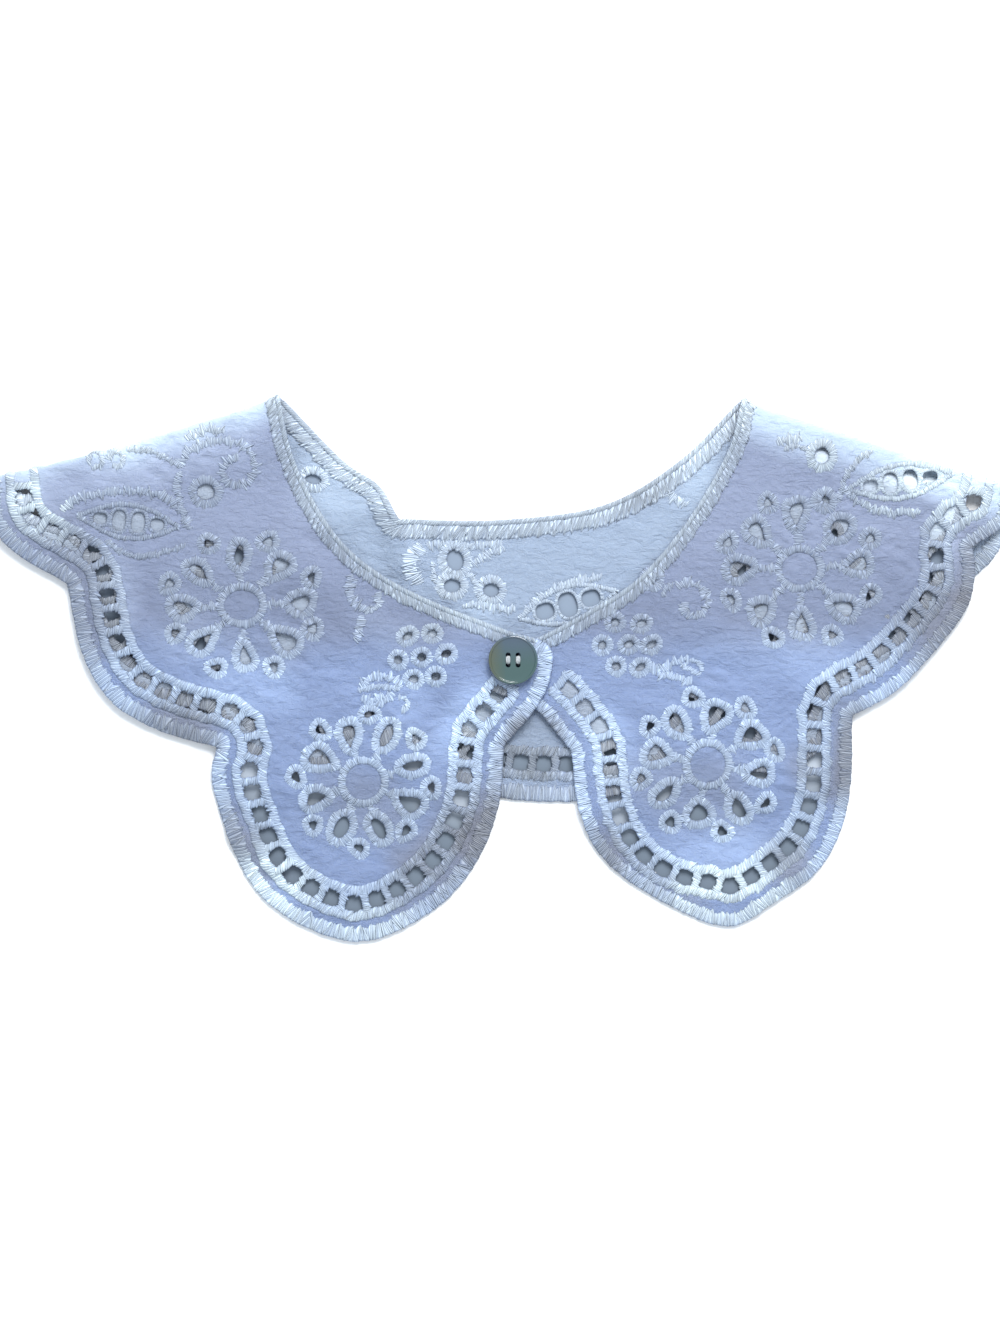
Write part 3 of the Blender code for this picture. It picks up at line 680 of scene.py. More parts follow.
def inset(runs: Sequence[Array], distance: float, inward: float) -> Array:
    """The runs of edge moved in by a distance, with rounded turns at the notches between them.

    Args:
        runs: paths that follow on from each other.
        distance: how far to move them.
        inward: 1 where the cloth lies to their left, -1 to their right.

    Returns:
        One path, clear of the edge by the distance everywhere.
    """
    moved, last = [], None
    for path in runs:
        normal = left_normals(path) * inward
        if last is not None:
            start = math.atan2(last[1], last[0])
            turn = (math.atan2(normal[0][1], normal[0][0]) - start + math.pi) % math.tau - math.pi
            if turn * inward < 0.0:
                spread = start + turn * np.linspace(0.0, 1.0, 3 + round(2 * abs(turn) * distance))[1:-1]
                moved.append(path[0] + distance * np.stack([np.cos(spread), np.sin(spread)], axis=1))
        moved.append(path + distance * normal)
        last = normal[-1]
    joined = np.vstack(moved)
    return joined[distance_to(joined, np.vstack(runs)) > CLEAR_SHARE * distance]


def relaxed(path: Array, passes: int) -> Array:
    """The path at even steps, each point drawn a few times towards the middle of its neighbours.

    Args:
        path: the path's points.
        passes: how many times they are drawn.

    Returns:
        The new path, with the same ends.
    """
    path = even_steps(path, 0.6)
    for _ in range(passes):
        path[1:-1] = 0.5 * path[1:-1] + 0.25 * (path[:-2] + path[2:])
    return path


def grid_points(low: Array, high: Array, step: float) -> tuple[Array, Array]:
    """X and Y of the points of a square grid from one corner of a box to the other."""
    return np.meshgrid(*(np.arange(low[i], high[i], step) for i in (0, 1)), indexing="ij")


def as_points(x: Array, y: Array) -> Array:
    """Points of two arrays of coordinates."""
    return np.stack([x.ravel(), y.ravel()], axis=1)


def blend(v: Array, low: tuple[Array, Array], high: tuple[Array, Array], t: Array, s: Array) -> Array:
    """Values of a grid between its rows low[0] and high[0] and its columns low[1] and high[1]."""
    (i, j), (i1, j1) = low, high
    return (v[i, j] * (1 - t) + v[i1, j] * t) * (1 - s) + (v[i, j1] * (1 - t) + v[i1, j1] * t) * s


class Noise:
    """Smooth noise over the plane: random heights on a lattice, blended between its points."""

    SIZE = 256

    def __init__(self, seed: int) -> None:
        """Draw the lattice's heights, from -1 to 1."""
        self.heights = np.random.default_rng(seed).uniform(-1.0, 1.0, (self.SIZE, self.SIZE))

    def __call__(self, u: Array, v: Array) -> Array:
        """Height at (u, v) in cells: the four corners' heights weighted by t²(3 - 2t) each way.

        Args:
            u: places along one way, in cells.
            v: places along the other.

        Returns:
            Heights from -1 to 1.
        """
        low_u, low_v = np.floor(u).astype(int), np.floor(v).astype(int)
        t, s = ease(u - low_u, 0.0, 1.0), ease(v - low_v, 0.0, 1.0)
        i, j = low_u % self.SIZE, low_v % self.SIZE
        return blend(self.heights, (i, j), ((i + 1) % self.SIZE, (j + 1) % self.SIZE), t, s)


class Chart:
    """A value of the plane, worked out on a grid over a loop's box and read back between its points."""

    SPACING = 1.0
    MARGIN = 22.0

    def __init__(self, loop: Array, value: Callable[[Array], Array]) -> None:
        """Work the value out at every grid point of the loop's box and a margin round it.

        Args:
            loop: the loop's corners.
            value: works the value out at some points.
        """
        self.low = loop.min(axis=0) - self.MARGIN
        counts = np.ceil((loop.max(axis=0) + self.MARGIN - self.low) / self.SPACING).astype(int) + 1
        x, y = np.meshgrid(*(low + self.SPACING * np.arange(count) for low, count in zip(self.low, counts)),
                           indexing="ij")
        self.values = value(as_points(x, y)).reshape(x.shape)

    def __call__(self, points: Array) -> Array:
        """Value at each point, bilinear between the grid's four nearest.

        Args:
            points: where to read.

        Returns:
            The values.
        """
        place = np.clip((points - self.low) / self.SPACING, 0.0, np.array(self.values.shape) - 1.001)
        i, j = np.floor(place).astype(int).T
        return blend(self.values, (i, j), (i + 1, j + 1), *(place - np.floor(place)).T)


class FoldLine:
    """A shoulder fold, from the neck edge to its tip: how the flat-cut cloth rolls over at it."""

    def __init__(self, neck: Point, tip: Point, sag: float) -> None:
        """Work out the fold's direction and the way in from it; sag is how far it bows.

        Args:
            neck: its end at the neck edge.
            tip: its other end.
            sag: how far it bows in.
        """
        self.start = np.array(neck)
        span = np.array(tip) - self.start
        self.length = float(np.linalg.norm(span))
        self.along = span / self.length
        self.inward = np.array([-self.along[1], self.along[0]])
        if -self.start @ self.inward < 0.0:
            self.inward = -self.inward
        self.sag = sag

    def depth(self, points: Array) -> Array:
        """Distance in from the fold, whose line bows in by sag at its middle.

        Args:
            points: flat-cut points.

        Returns:
            Distances, negative beyond the fold.
        """
        local = points - self.start
        share = np.clip(local @ self.along / self.length, 0.0, 1.0)
        return local @ self.inward - 4.0 * self.sag * share * (1.0 - share)

    def rolled(self, points: Array, radius: float) -> tuple[Array, Array]:
        """Roll flat-cut points round a quarter circle of that radius and on upright.

        Args:
            points: flat-cut points.
            radius: radius that the face rolls round.

        Returns:
            Their plan, and their rise from the level stretch.
        """
        depth = self.depth(points)
        run = np.maximum(FOLD_OUTER - depth, 0.0)
        angle = np.minimum(run / radius, math.pi / 2)
        upright = np.maximum(run - radius * math.pi / 2, 0.0)
        plan_depth = np.where(run > 0.0, FOLD_OUTER - radius * np.sin(angle), depth)
        rise = radius * (1.0 - np.cos(angle)) + upright
        return points + (plan_depth - depth)[:, None] * self.inward, rise


FOLDS = {
    "left": FoldLine((-66.0, 82.0), (-154.2, 57.4), 1.7),
    "right": FoldLine((72.4, 81.0), (154.2, 54.8), 0.4),
}


# ---------------- meshes

def grid_faces(rows: int, columns: int, rows_join: bool, rings: bool) -> tuple[Array, Array, Array]:
    """Quads of a grid of points, each turning from row to column, and their rows and columns.

    Args:
        rows: how many rows of points.
        columns: how many points in a row.
        rows_join: whether the last row joins the first.
        rings: whether each row is a ring.

    Returns:
        The quads' corners, and each corner's row and column, not wrapped round.
    """
    r, c = as_points(*np.meshgrid(np.arange(rows if rows_join else rows - 1),
                                  np.arange(columns if rings else columns - 1), indexing="ij")).T
    corner_rows = np.stack([r, r, r + 1, r + 1], axis=1)
    corner_columns = np.stack([c, c + 1, c + 1, c], axis=1)
    return (corner_rows % rows) * columns + corner_columns % columns, corner_rows, corner_columns


def put_values(mesh: Mesh, name: str, values: Array) -> None:
    """Store a number at each of a mesh's points."""
    mesh.attributes.new(name, "FLOAT", "POINT").data.foreach_set("value", values.astype(np.float32))


def smooth_mesh(name: str, points: Array, quads: Array, cover: Array, caps: Sequence[Array] = (),
                places: Array | None = None) -> Mesh:
    """Smooth mesh in metres of points in millimetres.

    Args:
        name: the mesh's name.
        points: its points.
        quads: its quads' corners.
        cover: how far each point is under another layer, 0 to 1, which sets its painted shade; below 0 where
            it is painted lighter, as painted light.
        caps: its other faces.
        places: texture place of every corner, if it has a texture.

    Returns:
        The mesh.
    """
    mesh = bpy.data.meshes.new(name)
    corners = np.concatenate([quads.ravel(), *caps]).astype(np.int32)
    sizes = np.concatenate([np.full(len(quads), 4), [len(cap) for cap in caps]]).astype(np.int32)
    mesh.vertices.add(len(points))
    mesh.vertices.foreach_set("co", (points * MM).astype(np.float32).ravel())
    mesh.loops.add(len(corners))
    mesh.loops.foreach_set("vertex_index", corners)
    mesh.polygons.add(len(sizes))
    mesh.polygons.foreach_set("loop_start", np.r_[0, np.cumsum(sizes)[:-1]].astype(np.int32))
    mesh.polygons.foreach_set("loop_total", sizes)
    if places is not None:
        mesh.uv_layers.new(name="stitches").data.foreach_set("uv", places.astype(np.float32).ravel())
    # Its cover sets the painted shade under another layer, and below 0 painted light.
    put_values(mesh, "under", cover)
    mesh.update(calc_edges=True)
    mesh.validate()
    mesh.shade_smooth()
    return mesh


@dataclass
class Surface:
    """Points, faces, texture places, end faces and covers gathered from many bands into one mesh."""

    bands: list[tuple] = field(default_factory=list)
    count: int = 0

    def add(self, points: Array, faces: Array, places: Array, caps: Sequence[Array], cover: Array) -> None:
        """Gather one more band.

        Args:
            points: its points.
            faces: its quads, counted from its own first point.
            places: texture place of each corner of each quad.
            caps: its end faces.
            cover: how far each point is under another layer of cloth, 0 to 1, which sets its painted shade;
                below 0 where it is painted lighter, as painted light.
        """
        ends = [cap + self.count for cap in caps]
        self.bands.append((points, faces + self.count, places.reshape(-1, 2), ends, cover))
        self.count += len(points)

    def mesh(self, name: str) -> Mesh:
        """The gathered bands as one mesh with its texture places, 0 on the end faces.

        Args:
            name: the mesh's name.

        Returns:
            The mesh.
        """
        points, faces, places, ends, covers = zip(*self.bands)
        caps = [cap for pair in ends for cap in pair]
        places = np.vstack([*places, np.zeros((sum(map(len, caps)), 2))])
        return smooth_mesh(name, np.vstack(points), np.vstack(faces), np.concatenate(covers), caps, places)


# ---------------- panels

class Panel:
    """One stretch of the collar's cloth, cut flat, and how it lies."""

    PARTING_OVERLAP = 0.02
    SLOW = Noise(111)

    def __init__(self, name: str) -> None:
        """Work out the edges of the panel of that name and the places of its holes.

        Args:
            name: which of the plans it follows.
        """
        self.name = name
        self.plan = plan = PLANS[name]
        self.folds = [FOLDS[side] for side in plan.folds]
        self.parting = FOLD_OUTER - plan.roll_radius * math.pi / 2 - FOLD_STRAIGHT - self.PARTING_OVERLAP
        self.rng = np.random.default_rng(plan.seed)
        self.under: list[Chart] = []
        self.over: list["Panel"] = []
        self.neck_runs, self.scallop_runs = (
            self.carried([smooth_run(knots, FINE_STEP) for knots in runs])
            for runs in (plan.neck, plan.scallops))
        self.loop = np.vstack([smooth_run(knots, COARSE_STEP) for knots in plan.neck + plan.scallops])
        self.outline = np.vstack([*self.neck_runs, *self.scallop_runs])
        coarse = [smooth_run(knots, COARSE_STEP) for knots in plan.scallops]
        self.row = self.nudged(inset(coarse, LADDER_INSET, plan.inward))
        total = run_length(self.row)[-1]
        count = round((total - plan.first_gap) / LADDER_PITCH)
        self.gap_runs = np.linspace(plan.first_gap, total - LADDER_PITCH, count)
        self.ladder_holes = self._ladder_holes()
        self.crease = Noise(plan.seed + 12)
        self.cover = Chart(self.loop, partial(depth_inside, loop=self.loop))
        self.neck_clear, self.edge_clear = (
            Chart(self.loop, partial(distance_to, path=np.vstack(runs)[::3]))
            for runs in (self.neck_runs, self.scallop_runs))

    def carried(self, runs: list[Array], spare: float = 6.0) -> list[Array]:
        """The runs again, carried straight on past the folds where they end at one.

        Args:
            runs: smooth runs of edge, in order.
            spare: how far past the fold they go.

        Returns:
            The runs.
        """
        for end in (0, -1):
            point = runs[end][end]
            fold = min(self.folds, key=lambda fold: abs(fold.depth(point[None])[0]))
            if abs(fold.depth(point[None])[0]) < 1.0:
                beyond = (point - spare * fold.inward)[None]
                joined = [runs[end], beyond] if end else [beyond, runs[end]]
                runs[end] = even_steps(np.vstack(joined), FINE_STEP)
        return runs

    def nudged(self, path: Array) -> Array:
        """The path of the ladder, moved by each nudge's shift times exp(-(distance / radius)²).

        Args:
            path: the path's points.

        Returns:
            The moved points.
        """
        moved = path.copy()
        for nudge in self.plan.nudges:
            away = np.hypot(path[:, 0] - nudge.x, path[:, 1] - nudge.y) / nudge.radius
            moved += np.exp(-away**2)[:, None] * (nudge.shift_x, nudge.shift_y)
        return moved

    def stand_off(self, flat: Array) -> Array:
        """How far a front lies off the layers below it.

        From its fold on it settles, crest·(1 - ease(depth)), and it takes up the slow swell.

        Args:
            flat: flat-cut points.

        Returns:
            Heights over the layers below.
        """
        depth = self.folds[0].depth(flat)
        crest = FOLD_OUTER + 2.0 * FOLD_STRAIGHT + FOLD_INNER - LAYER
        swell = SWELL * (1.0 + self.SLOW(flat[:, 0] / 15.0, flat[:, 1] / 11.0))
        return crest * (1.0 - ease(depth, FOLD_OUTER, FOLD_RELAX)) + swell * ease(depth, FOLD_OUTER, 12.0)

    def covered(self, flat: Array) -> Array:
        """Share, 0 to 1, by which each point is well under a layer on top."""
        return np.max([ease(top.cover(flat), *OVERLAP) for top in self.over] + [np.zeros(len(flat))], axis=0)

    def lower_face(self, flat: Array) -> Array:
        """Places of the panel's lower face.

        Height is the rise of the roll at a fold, plus the layers underneath, plus what a
        front stands off them, plus the soft ridges: each adds
        rise·(1 - ease(distance / half width)).  Cloth rises towards a layer on top.

        Args:
            flat: flat-cut points.

        Returns:
            Their places, with the height as Z.
        """
        if self.plan.beneath:
            plan, rise = self.folds[0].rolled(flat, self.plan.roll_radius)
            height = self.stand_off(flat) - rise + NESTLE * self.covered(plan)
            for under in self.under:
                height = height + LAYER * ease(under(plan), *STEP)
        else:
            plan, height = flat, np.zeros(len(flat))
            for fold in self.folds:
                near = fold.depth(flat) < FOLD_OUTER
                moved, up = fold.rolled(flat, self.plan.roll_radius)
                plan = np.where(near[:, None], moved, plan)
                height = np.where(near, up, height)
            clear = np.min([ease(fold.depth(flat), FOLD_OUTER + 0.5, 9.0) for fold in self.folds], axis=0)
            risen = [ease(top.cover(plan), *OVERLAP) * (top.stand_off(plan) + NESTLE) for top in self.over]
            height = height + clear * np.max(risen, axis=0)
        for ridge in RIDGES:
            if self.name in ridge.panels:
                line = np.array([(ridge.x, ridge.y), (ridge.end_x, ridge.end_y)])
                height = height + ridge.rise * (1.0 - ease(distance_to(plan, line), 0.0, ridge.half_width))
        return np.column_stack([plan, height])

    def relief(self, flat: Array) -> Array:
        """Rise of the crinkles, which the stitching rides on.

        Long creases are stretched noise n, bent by another; short ones are ridges,
        1 - 2|n|, across them.  Both are calm near the neck and flat at the edges.

        Args:
            flat: flat-cut points.

        Returns:
            Rises along the cloth's normal.
        """
        x, y = flat.T
        noise = self.crease
        bend = 2.6 * noise(x / 13.0 + 40.0, y / 13.0)
        u, v = turned(x, y + bend, 24.0)
        long_creases = noise(u / 7.5, v / 2.3)
        u, v = turned(x + bend, y, -38.0)
        short_creases = 1.0 - 2.0 * np.abs(noise(u / 5.0 + 90.0, v / 2.6))
        strength = 0.35 + 0.65 * ease(self.neck_clear(flat), 8.0, 34.0)
        edge = ease(self.edge_clear(flat), 4.0, 7.0)
        patchy = 0.8 + 0.5 * noise(x / 21.0, y / 17.0 + 60.0)
        rise = CRINKLE * strength * patchy * edge * (0.3 + 0.75 * long_creases + 0.5 * short_creases)
        return np.maximum(rise, -0.12)

    def lay(self, flat: Array, lift: Array) -> Array:
        """Places of flat-cut points, lifted along the normal of the panel's lower face.

        The normal is the cross product of the face's slopes along X and along Y, each
        from the places a short way to both sides.  Stitching under another layer is
        pressed flatter.

        Args:
            flat: flat-cut points.
            lift: each one's height above the lower face.

        Returns:
            Their places.
        """
        along_x, along_y = (self.lower_face(flat + way) - self.lower_face(flat - way)
                            for way in 0.35 * np.eye(2))
        normal = np.cross(along_x, along_y)
        normal /= np.linalg.norm(normal, axis=1)[:, None]
        stitching = np.maximum(lift - CLOTH_LOW - CLOTH_THICK, 0.0)
        lift = lift + self.relief(flat) - PRESSED * self.covered(flat) * stitching
        return self.lower_face(flat) + lift[:, None] * normal

    def on_it(self, path: Array, spare: float = 0.0) -> Array:
        """Whether each point is on this panel's side of the partings at its folds."""
        return np.all([fold.depth(path) > self.parting + spare for fold in self.folds], axis=0)

    def trimmed(self, path: Array) -> Array:
        """The part of a path on this panel's side of the partings at its folds."""
        return path[self.on_it(path)]

    def worked(self, runs: Sequence[Array], distance: float) -> Array:
        """Smooth path that follows the runs at a distance in from them, up to the partings."""
        path = inset(runs, distance, self.plan.inward)
        return self.trimmed(relaxed(path, 4 + round(0.16 * distance**2)))

    # -------- its holes

    def uneven(self, count: int, kinds: int) -> Array:
        """Chance numbers for handwork: some kinds for each of its items, none far out."""
        return self.rng.normal(0.0, 1.0, (count, kinds)).clip(-1.6, 1.6)

    def _ladder_holes(self) -> list[Hole]:
        """Rounded square holes along the ladder.

        Returns:
            The holes, along the ladder.
        """
        uneven = self.uneven(len(self.gap_runs), 4)
        places = at_runs(self.row, self.gap_runs)
        ahead = at_runs(self.row, self.gap_runs + 0.5) - at_runs(self.row, self.gap_runs - 0.5)
        turns = np.degrees(np.arctan2(ahead[:, 1], ahead[:, 0])) + 5.0 * uneven[:, 0]
        lengths = LADDER_LENGTH * (1.0 + 0.05 * uneven[:, 1])
        widths = LADDER_WIDTH * (1.0 + 0.06 * uneven[:, 2])
        return [Hole(x, y, length, width, turn, square=3.0, wobble=0.03, phase=9.0 * u)
                for (x, y), length, width, turn, u in zip(places, lengths, widths, turns, uneven[:, 3])]

    def petal_holes(self, flower: Flower) -> list[Hole]:
        """Egg-shaped holes round a flower's disc.

        Args:
            flower: the flower.

        Returns:
            The holes, in turn.
        """
        uneven = self.uneven(PETALS, 5)
        turn, x, y = flower.whorl(0.0, 0.0, 0.35 * uneven)
        lengths = PETAL_LENGTH * (1.0 + 0.08 * uneven[:, 2])
        widths = PETAL_WIDTH * (1.06 + 0.14 * uneven[:, 3])
        return [Hole(*place, egg=0.2, wobble=0.06, phase=11.0 * u)
                for *place, u in zip(x, y, lengths, widths, turn + 6.0 * uneven[:, 4], uneven[:, 1])]

    def outer_eyelets(self, flower: Flower) -> list[Hole]:
        """Small holes between and beyond the petals.

        Args:
            flower: the flower.

        Returns:
            The holes, in turn.
        """
        uneven = self.uneven(PETALS, 4)
        turn, x, y = flower.whorl(0.5, OUTER_EYELET_REACH, 0.3 * uneven)
        lengths = EYELET_LENGTH * (1.0 + 0.1 * uneven[:, 2])
        widths = EYELET_WIDTH * (1.0 + 0.1 * uneven[:, 3])
        return [Hole(*place, wobble=0.07, phase=11.0 * u)
                for *place, u in zip(x, y, lengths, widths, turn + 90.0, uneven[:, 1])]

    def cluster_eyelets(self, cluster: Cluster) -> list[Hole]:
        """Six small holes round a seventh.

        Args:
            cluster: the cluster.

        Returns:
            The holes, the middle one first.
        """
        uneven = self.uneven(7, 3)
        turn = np.radians(cluster.turn + 60.0 * np.arange(6))
        x = cluster.x + np.r_[0.0, CLUSTER_REACH * np.cos(turn)] + 0.25 * uneven[:, 0]
        y = cluster.y + np.r_[0.0, CLUSTER_REACH * np.sin(turn)] + 0.25 * uneven[:, 1]
        return [Hole(px, py, CLUSTER_LENGTH + 0.3 * u, CLUSTER_WIDTH - 0.2 * u, 20.0 * u)
                for px, py, u in zip(x, y, uneven[:, 2])]


# ---------------- stitching

class Needle:
    """Works bands of stitches on one panel and gathers them in a surface."""

    ROWS = 3                     # rows of points to a stitch
    SECTION = np.radians([0, 24, 56, 90, 124, 156, 180, 240, 300])
    MIDDLE = CLOTH_LOW + 0.5 * CLOTH_THICK

    def __init__(self, panel: Panel, turn: int) -> None:
        """Start an empty surface on the panel, with that turn's own chance numbers.

        Args:
            panel: the panel to work on.
            turn: which of its surfaces this is.
        """
        self.panel = panel
        self.rng = np.random.default_rng(panel.plan.seed + turn)
        self.surface = Surface()
        self.stitches = 0

    def satin(self, path: Array, stitch: Stitch, closed: bool = False, blunt: bool = False,
              even_side: int = 0) -> None:
        """Work a band of stitches along a path.

        Each stitch is a few rows of points.  Across a row the section is the curve
        (|cos a|^(2/n), |sin a|^(2/n)) round the cloth; along the band its height and
        width follow sqrt(1 - (2p - 1)²), where p is the share of a stitch that is
        passed, so every stitch is round and there is a groove between two.

        Args:
            path: flat-cut points of the band's middle line; a closed one ends where it starts.
            stitch: the kind of stitching.
            closed: whether the band is a ring.
            blunt: whether its ends are cut square, to meet another band.
            even_side: 1 or -1 for a tidy left or right side, off which a lean falls; 0 for none.
        """
        total = run_length(path)[-1]
        count = max(4, round(total / stitch.pitch))
        rows = count * self.ROWS + (0 if closed else 1)
        row = np.arange(rows)
        share = (row % self.ROWS) / self.ROWS
        body = np.sqrt(1.0 - (2.0 * share - 1.0)**2)
        uneven = np.clip(self.rng.normal(0.0, 1.0, (5, count)), -1.4, 1.7)
        uneven = uneven[:, np.minimum(row // self.ROWS, count - 1)]

        at = row * (total / (count * self.ROWS)) + 0.14 * stitch.pitch * uneven[0]
        at = at % total if closed else np.clip(at, 0.0, total)
        middle = at_runs(path, at)
        normal = left_normals(middle, closed)
        heading = np.stack([normal[:, 1], -normal[:, 0]], axis=1)

        near_end = np.minimum(at, total - at)
        from_end = np.full(rows, total) if closed or blunt else near_end
        taper = np.clip(from_end / (0.5 * stitch.width), 0.0, 1.0)
        rounded = 0.35 + 0.65 * np.sqrt(1.0 - (1.0 - taper)**2)
        flare = 1.0 + stitch.flare * np.exp(-near_end / 0.8)
        half = 0.5 * stitch.width * rounded * flare

        c, s = np.cos(self.SECTION), np.sin(self.SECTION)
        power = 2.0 / stitch.square
        side = np.sign(c) * np.abs(c)**power
        height = np.where(np.abs(s) < 1e-9, 0.0, np.sign(s) * np.abs(s)**power)
        height = height * (1.0 - stitch.lean * np.clip(-even_side * side, 0.0, 1.0)**1.4)
        left, right = (stitch.ragged * (0.25 * ends) if tidy else
                       stitch.ragged * ends - stitch.pinch * (1.0 - body)
                       for tidy, ends in ((even_side > 0, uneven[1]), (even_side < 0, uneven[2])))
        across = half[:, None] * side * (1.0 + np.where(side > 0, left[:, None], right[:, None]))

        top = stitch.crown + 0.06 * uneven[3] - stitch.groove * (1.0 - body)
        top = self.MIDDLE + (top - self.MIDDLE) * (0.4 + 0.6 * rounded)
        lift = self.MIDDLE + np.where(height > 0.0, height * (top - self.MIDDLE)[:, None],
                                      height * (self.MIDDLE - stitch.base))
        leaning = normal + (stitch.slant + stitch.sway * uneven[4])[:, None] * heading
        flat = (middle[:, None] + across[..., None] * leaning[:, None]).reshape(-1, 2)

        columns = len(self.SECTION)
        faces, corner_rows, corner_columns = grid_faces(rows, columns, closed, True)
        places = np.stack([self.stitches + corner_rows / self.ROWS, corner_columns / columns], axis=-1)
        caps = [] if closed else [np.arange(columns)[::-1], (rows - 1) * columns + np.arange(columns)]
        # The cover, less the stitch's painted light, sets the painted shade under another layer and the
        # painted light.
        self.surface.add(self.panel.lay(flat, lift.ravel()), faces, places, caps,
                         self.panel.covered(flat) - stitch.bright)
        self.stitches += count + 3

    def rim(self, hole: Hole, stitch: Stitch) -> None:
        """Work a ring of stitches round a hole, its inner side just over the hole's edge."""
        self.satin(hole.loop(0.5 * stitch.width - RIM_OVER), stitch, closed=True, even_side=1)


# ---------------- finishes

class Nodes:
    """A node tree, with short ways to add and join its nodes."""

    def __init__(self, tree: bpy.types.NodeTree) -> None:
        """Wrap the tree."""
        self.tree = tree

    def put(self, node: bpy.types.Node, values: dict) -> None:
        """Put values, or links from other nodes' outputs, on a node's inputs of those names or numbers.

        Args:
            node: the node.
            values: input to its value or link.
        """
        for name, value in values.items():
            socket = node.inputs[name]
            if isinstance(value, Socket):
                self.tree.links.new(value, socket)
            else:
                socket.default_value = (*value, 1.0) if socket.type == "RGBA" else value

    def add(self, kind: str, values: dict | None = None, **settings: object) -> bpy.types.Node:
        """Add a node.

        Args:
            kind: the node's type, without ShaderNode.
            values: what goes on its inputs.
            settings: the node's own properties.

        Returns:
            The node.
        """
        node = self.tree.nodes.new("ShaderNode" + kind)
        for name, value in settings.items():
            setattr(node, name, value)
        self.put(node, values or {})
        return node

    def group(self, name: str, values: dict) -> bpy.types.Node:
        """A node of one of the shared groups."""
        return self.add("Group", values, node_tree=bpy.data.node_groups[name])

    def maths(self, operation: str, *inputs: object) -> Socket:
        """Result of a Math node."""
        return self.add("Math", dict(enumerate(inputs)), operation=operation).outputs[0]

    def scaled(self, value: object, factor: object, more: object = 0.0) -> Socket:
        """A value times a factor, plus more."""
        return self.maths("MULTIPLY_ADD", value, factor, more)

    def mixed(self, factor: object, first: object, second: object, way: str = "MIX") -> Socket:
        """Colour between two colours, or the first blended with the second in another way."""
        values = {0: factor, 6: first, 7: second}
        return self.add("Mix", values, data_type="RGBA", blend_type=way).outputs[2]

    def noise(self, place: Socket, scale: object, detail: float, **more: float) -> Socket:
        """Cloudy noise."""
        return self.add("TexNoise", {"Vector": place, "Scale": scale, "Detail": detail, **more}).outputs[0]

    def climb(self, value: object, low: float, high: float, top: float = 1.0) -> Socket:
        """Smooth climb of a value from 0 at low to top at high."""
        values = {0: value, 1: low, 2: high, 4: top}
        return self.add("MapRange", values, interpolation_type="SMOOTHSTEP").outputs[0]

    def split(self, place: Socket) -> tuple[Socket, Socket]:
        """X and Y of a place."""
        return tuple(self.add("SeparateXYZ", {0: place}).outputs[:2])

    def bump(self, height: object, distance: float, strength: float, **more: Socket) -> Socket:
        """Normal raised by a height."""
        values = {"Height": height, "Distance": distance, "Strength": strength, **more}
        return self.add("Bump", values).outputs[0]


def new_group(name: str, inputs: dict[str, float | None], outputs: Sequence[str]) -> tuple:
    """An empty shader node group with its sockets.

    Args:
        name: the group's name.
        inputs: socket name to its default, or to None for a vector.
        outputs: names of its results, all numbers.

    Returns:
        Its nodes, its input node's outputs and its output node.
    """
    tree = bpy.data.node_groups.new(name, "ShaderNodeTree")
    for label, default in inputs.items():
        kind = "NodeSocketVector" if default is None else "NodeSocketFloat"
        socket = tree.interface.new_socket(label, in_out="INPUT", socket_type=kind)
        if default is not None:
            socket.default_value = default
    for label in outputs:
        tree.interface.new_socket(label, in_out="OUTPUT", socket_type="NodeSocketFloat")
    return Nodes(tree), tree.nodes.new("NodeGroupInput").outputs, tree.nodes.new("NodeGroupOutput")


def mottle_group() -> None:
    """Slow and fine patches of tone, as handled cotton has: a mask from 0 to 1."""
    nodes, source, result = new_group("mottle", {"Place": None, "Scale": 40.0}, ["Mask"])
    slow = nodes.noise(source[0], source[1], 3.0)
    fine = nodes.noise(source[0], nodes.maths("MULTIPLY", source[1], 14.0), 2.0)
    mask = nodes.scaled(slow, 0.65, nodes.maths("MULTIPLY", fine, 0.35))
    nodes.put(result, {"Mask": mask})


# Where a tone starts and is full, in metres up the collar, and how far its edge wanders: painted light on the
# fold strip, the doubled tone, and painted light towards the shoulders
DRIFTS = {"FoldPaintedLight": (0.0885, 0.1010, 0.012), "Doubled": (-0.002, 0.016, 0.024), "HighPaintedLight": (0.016, 0.046, 0.024)}


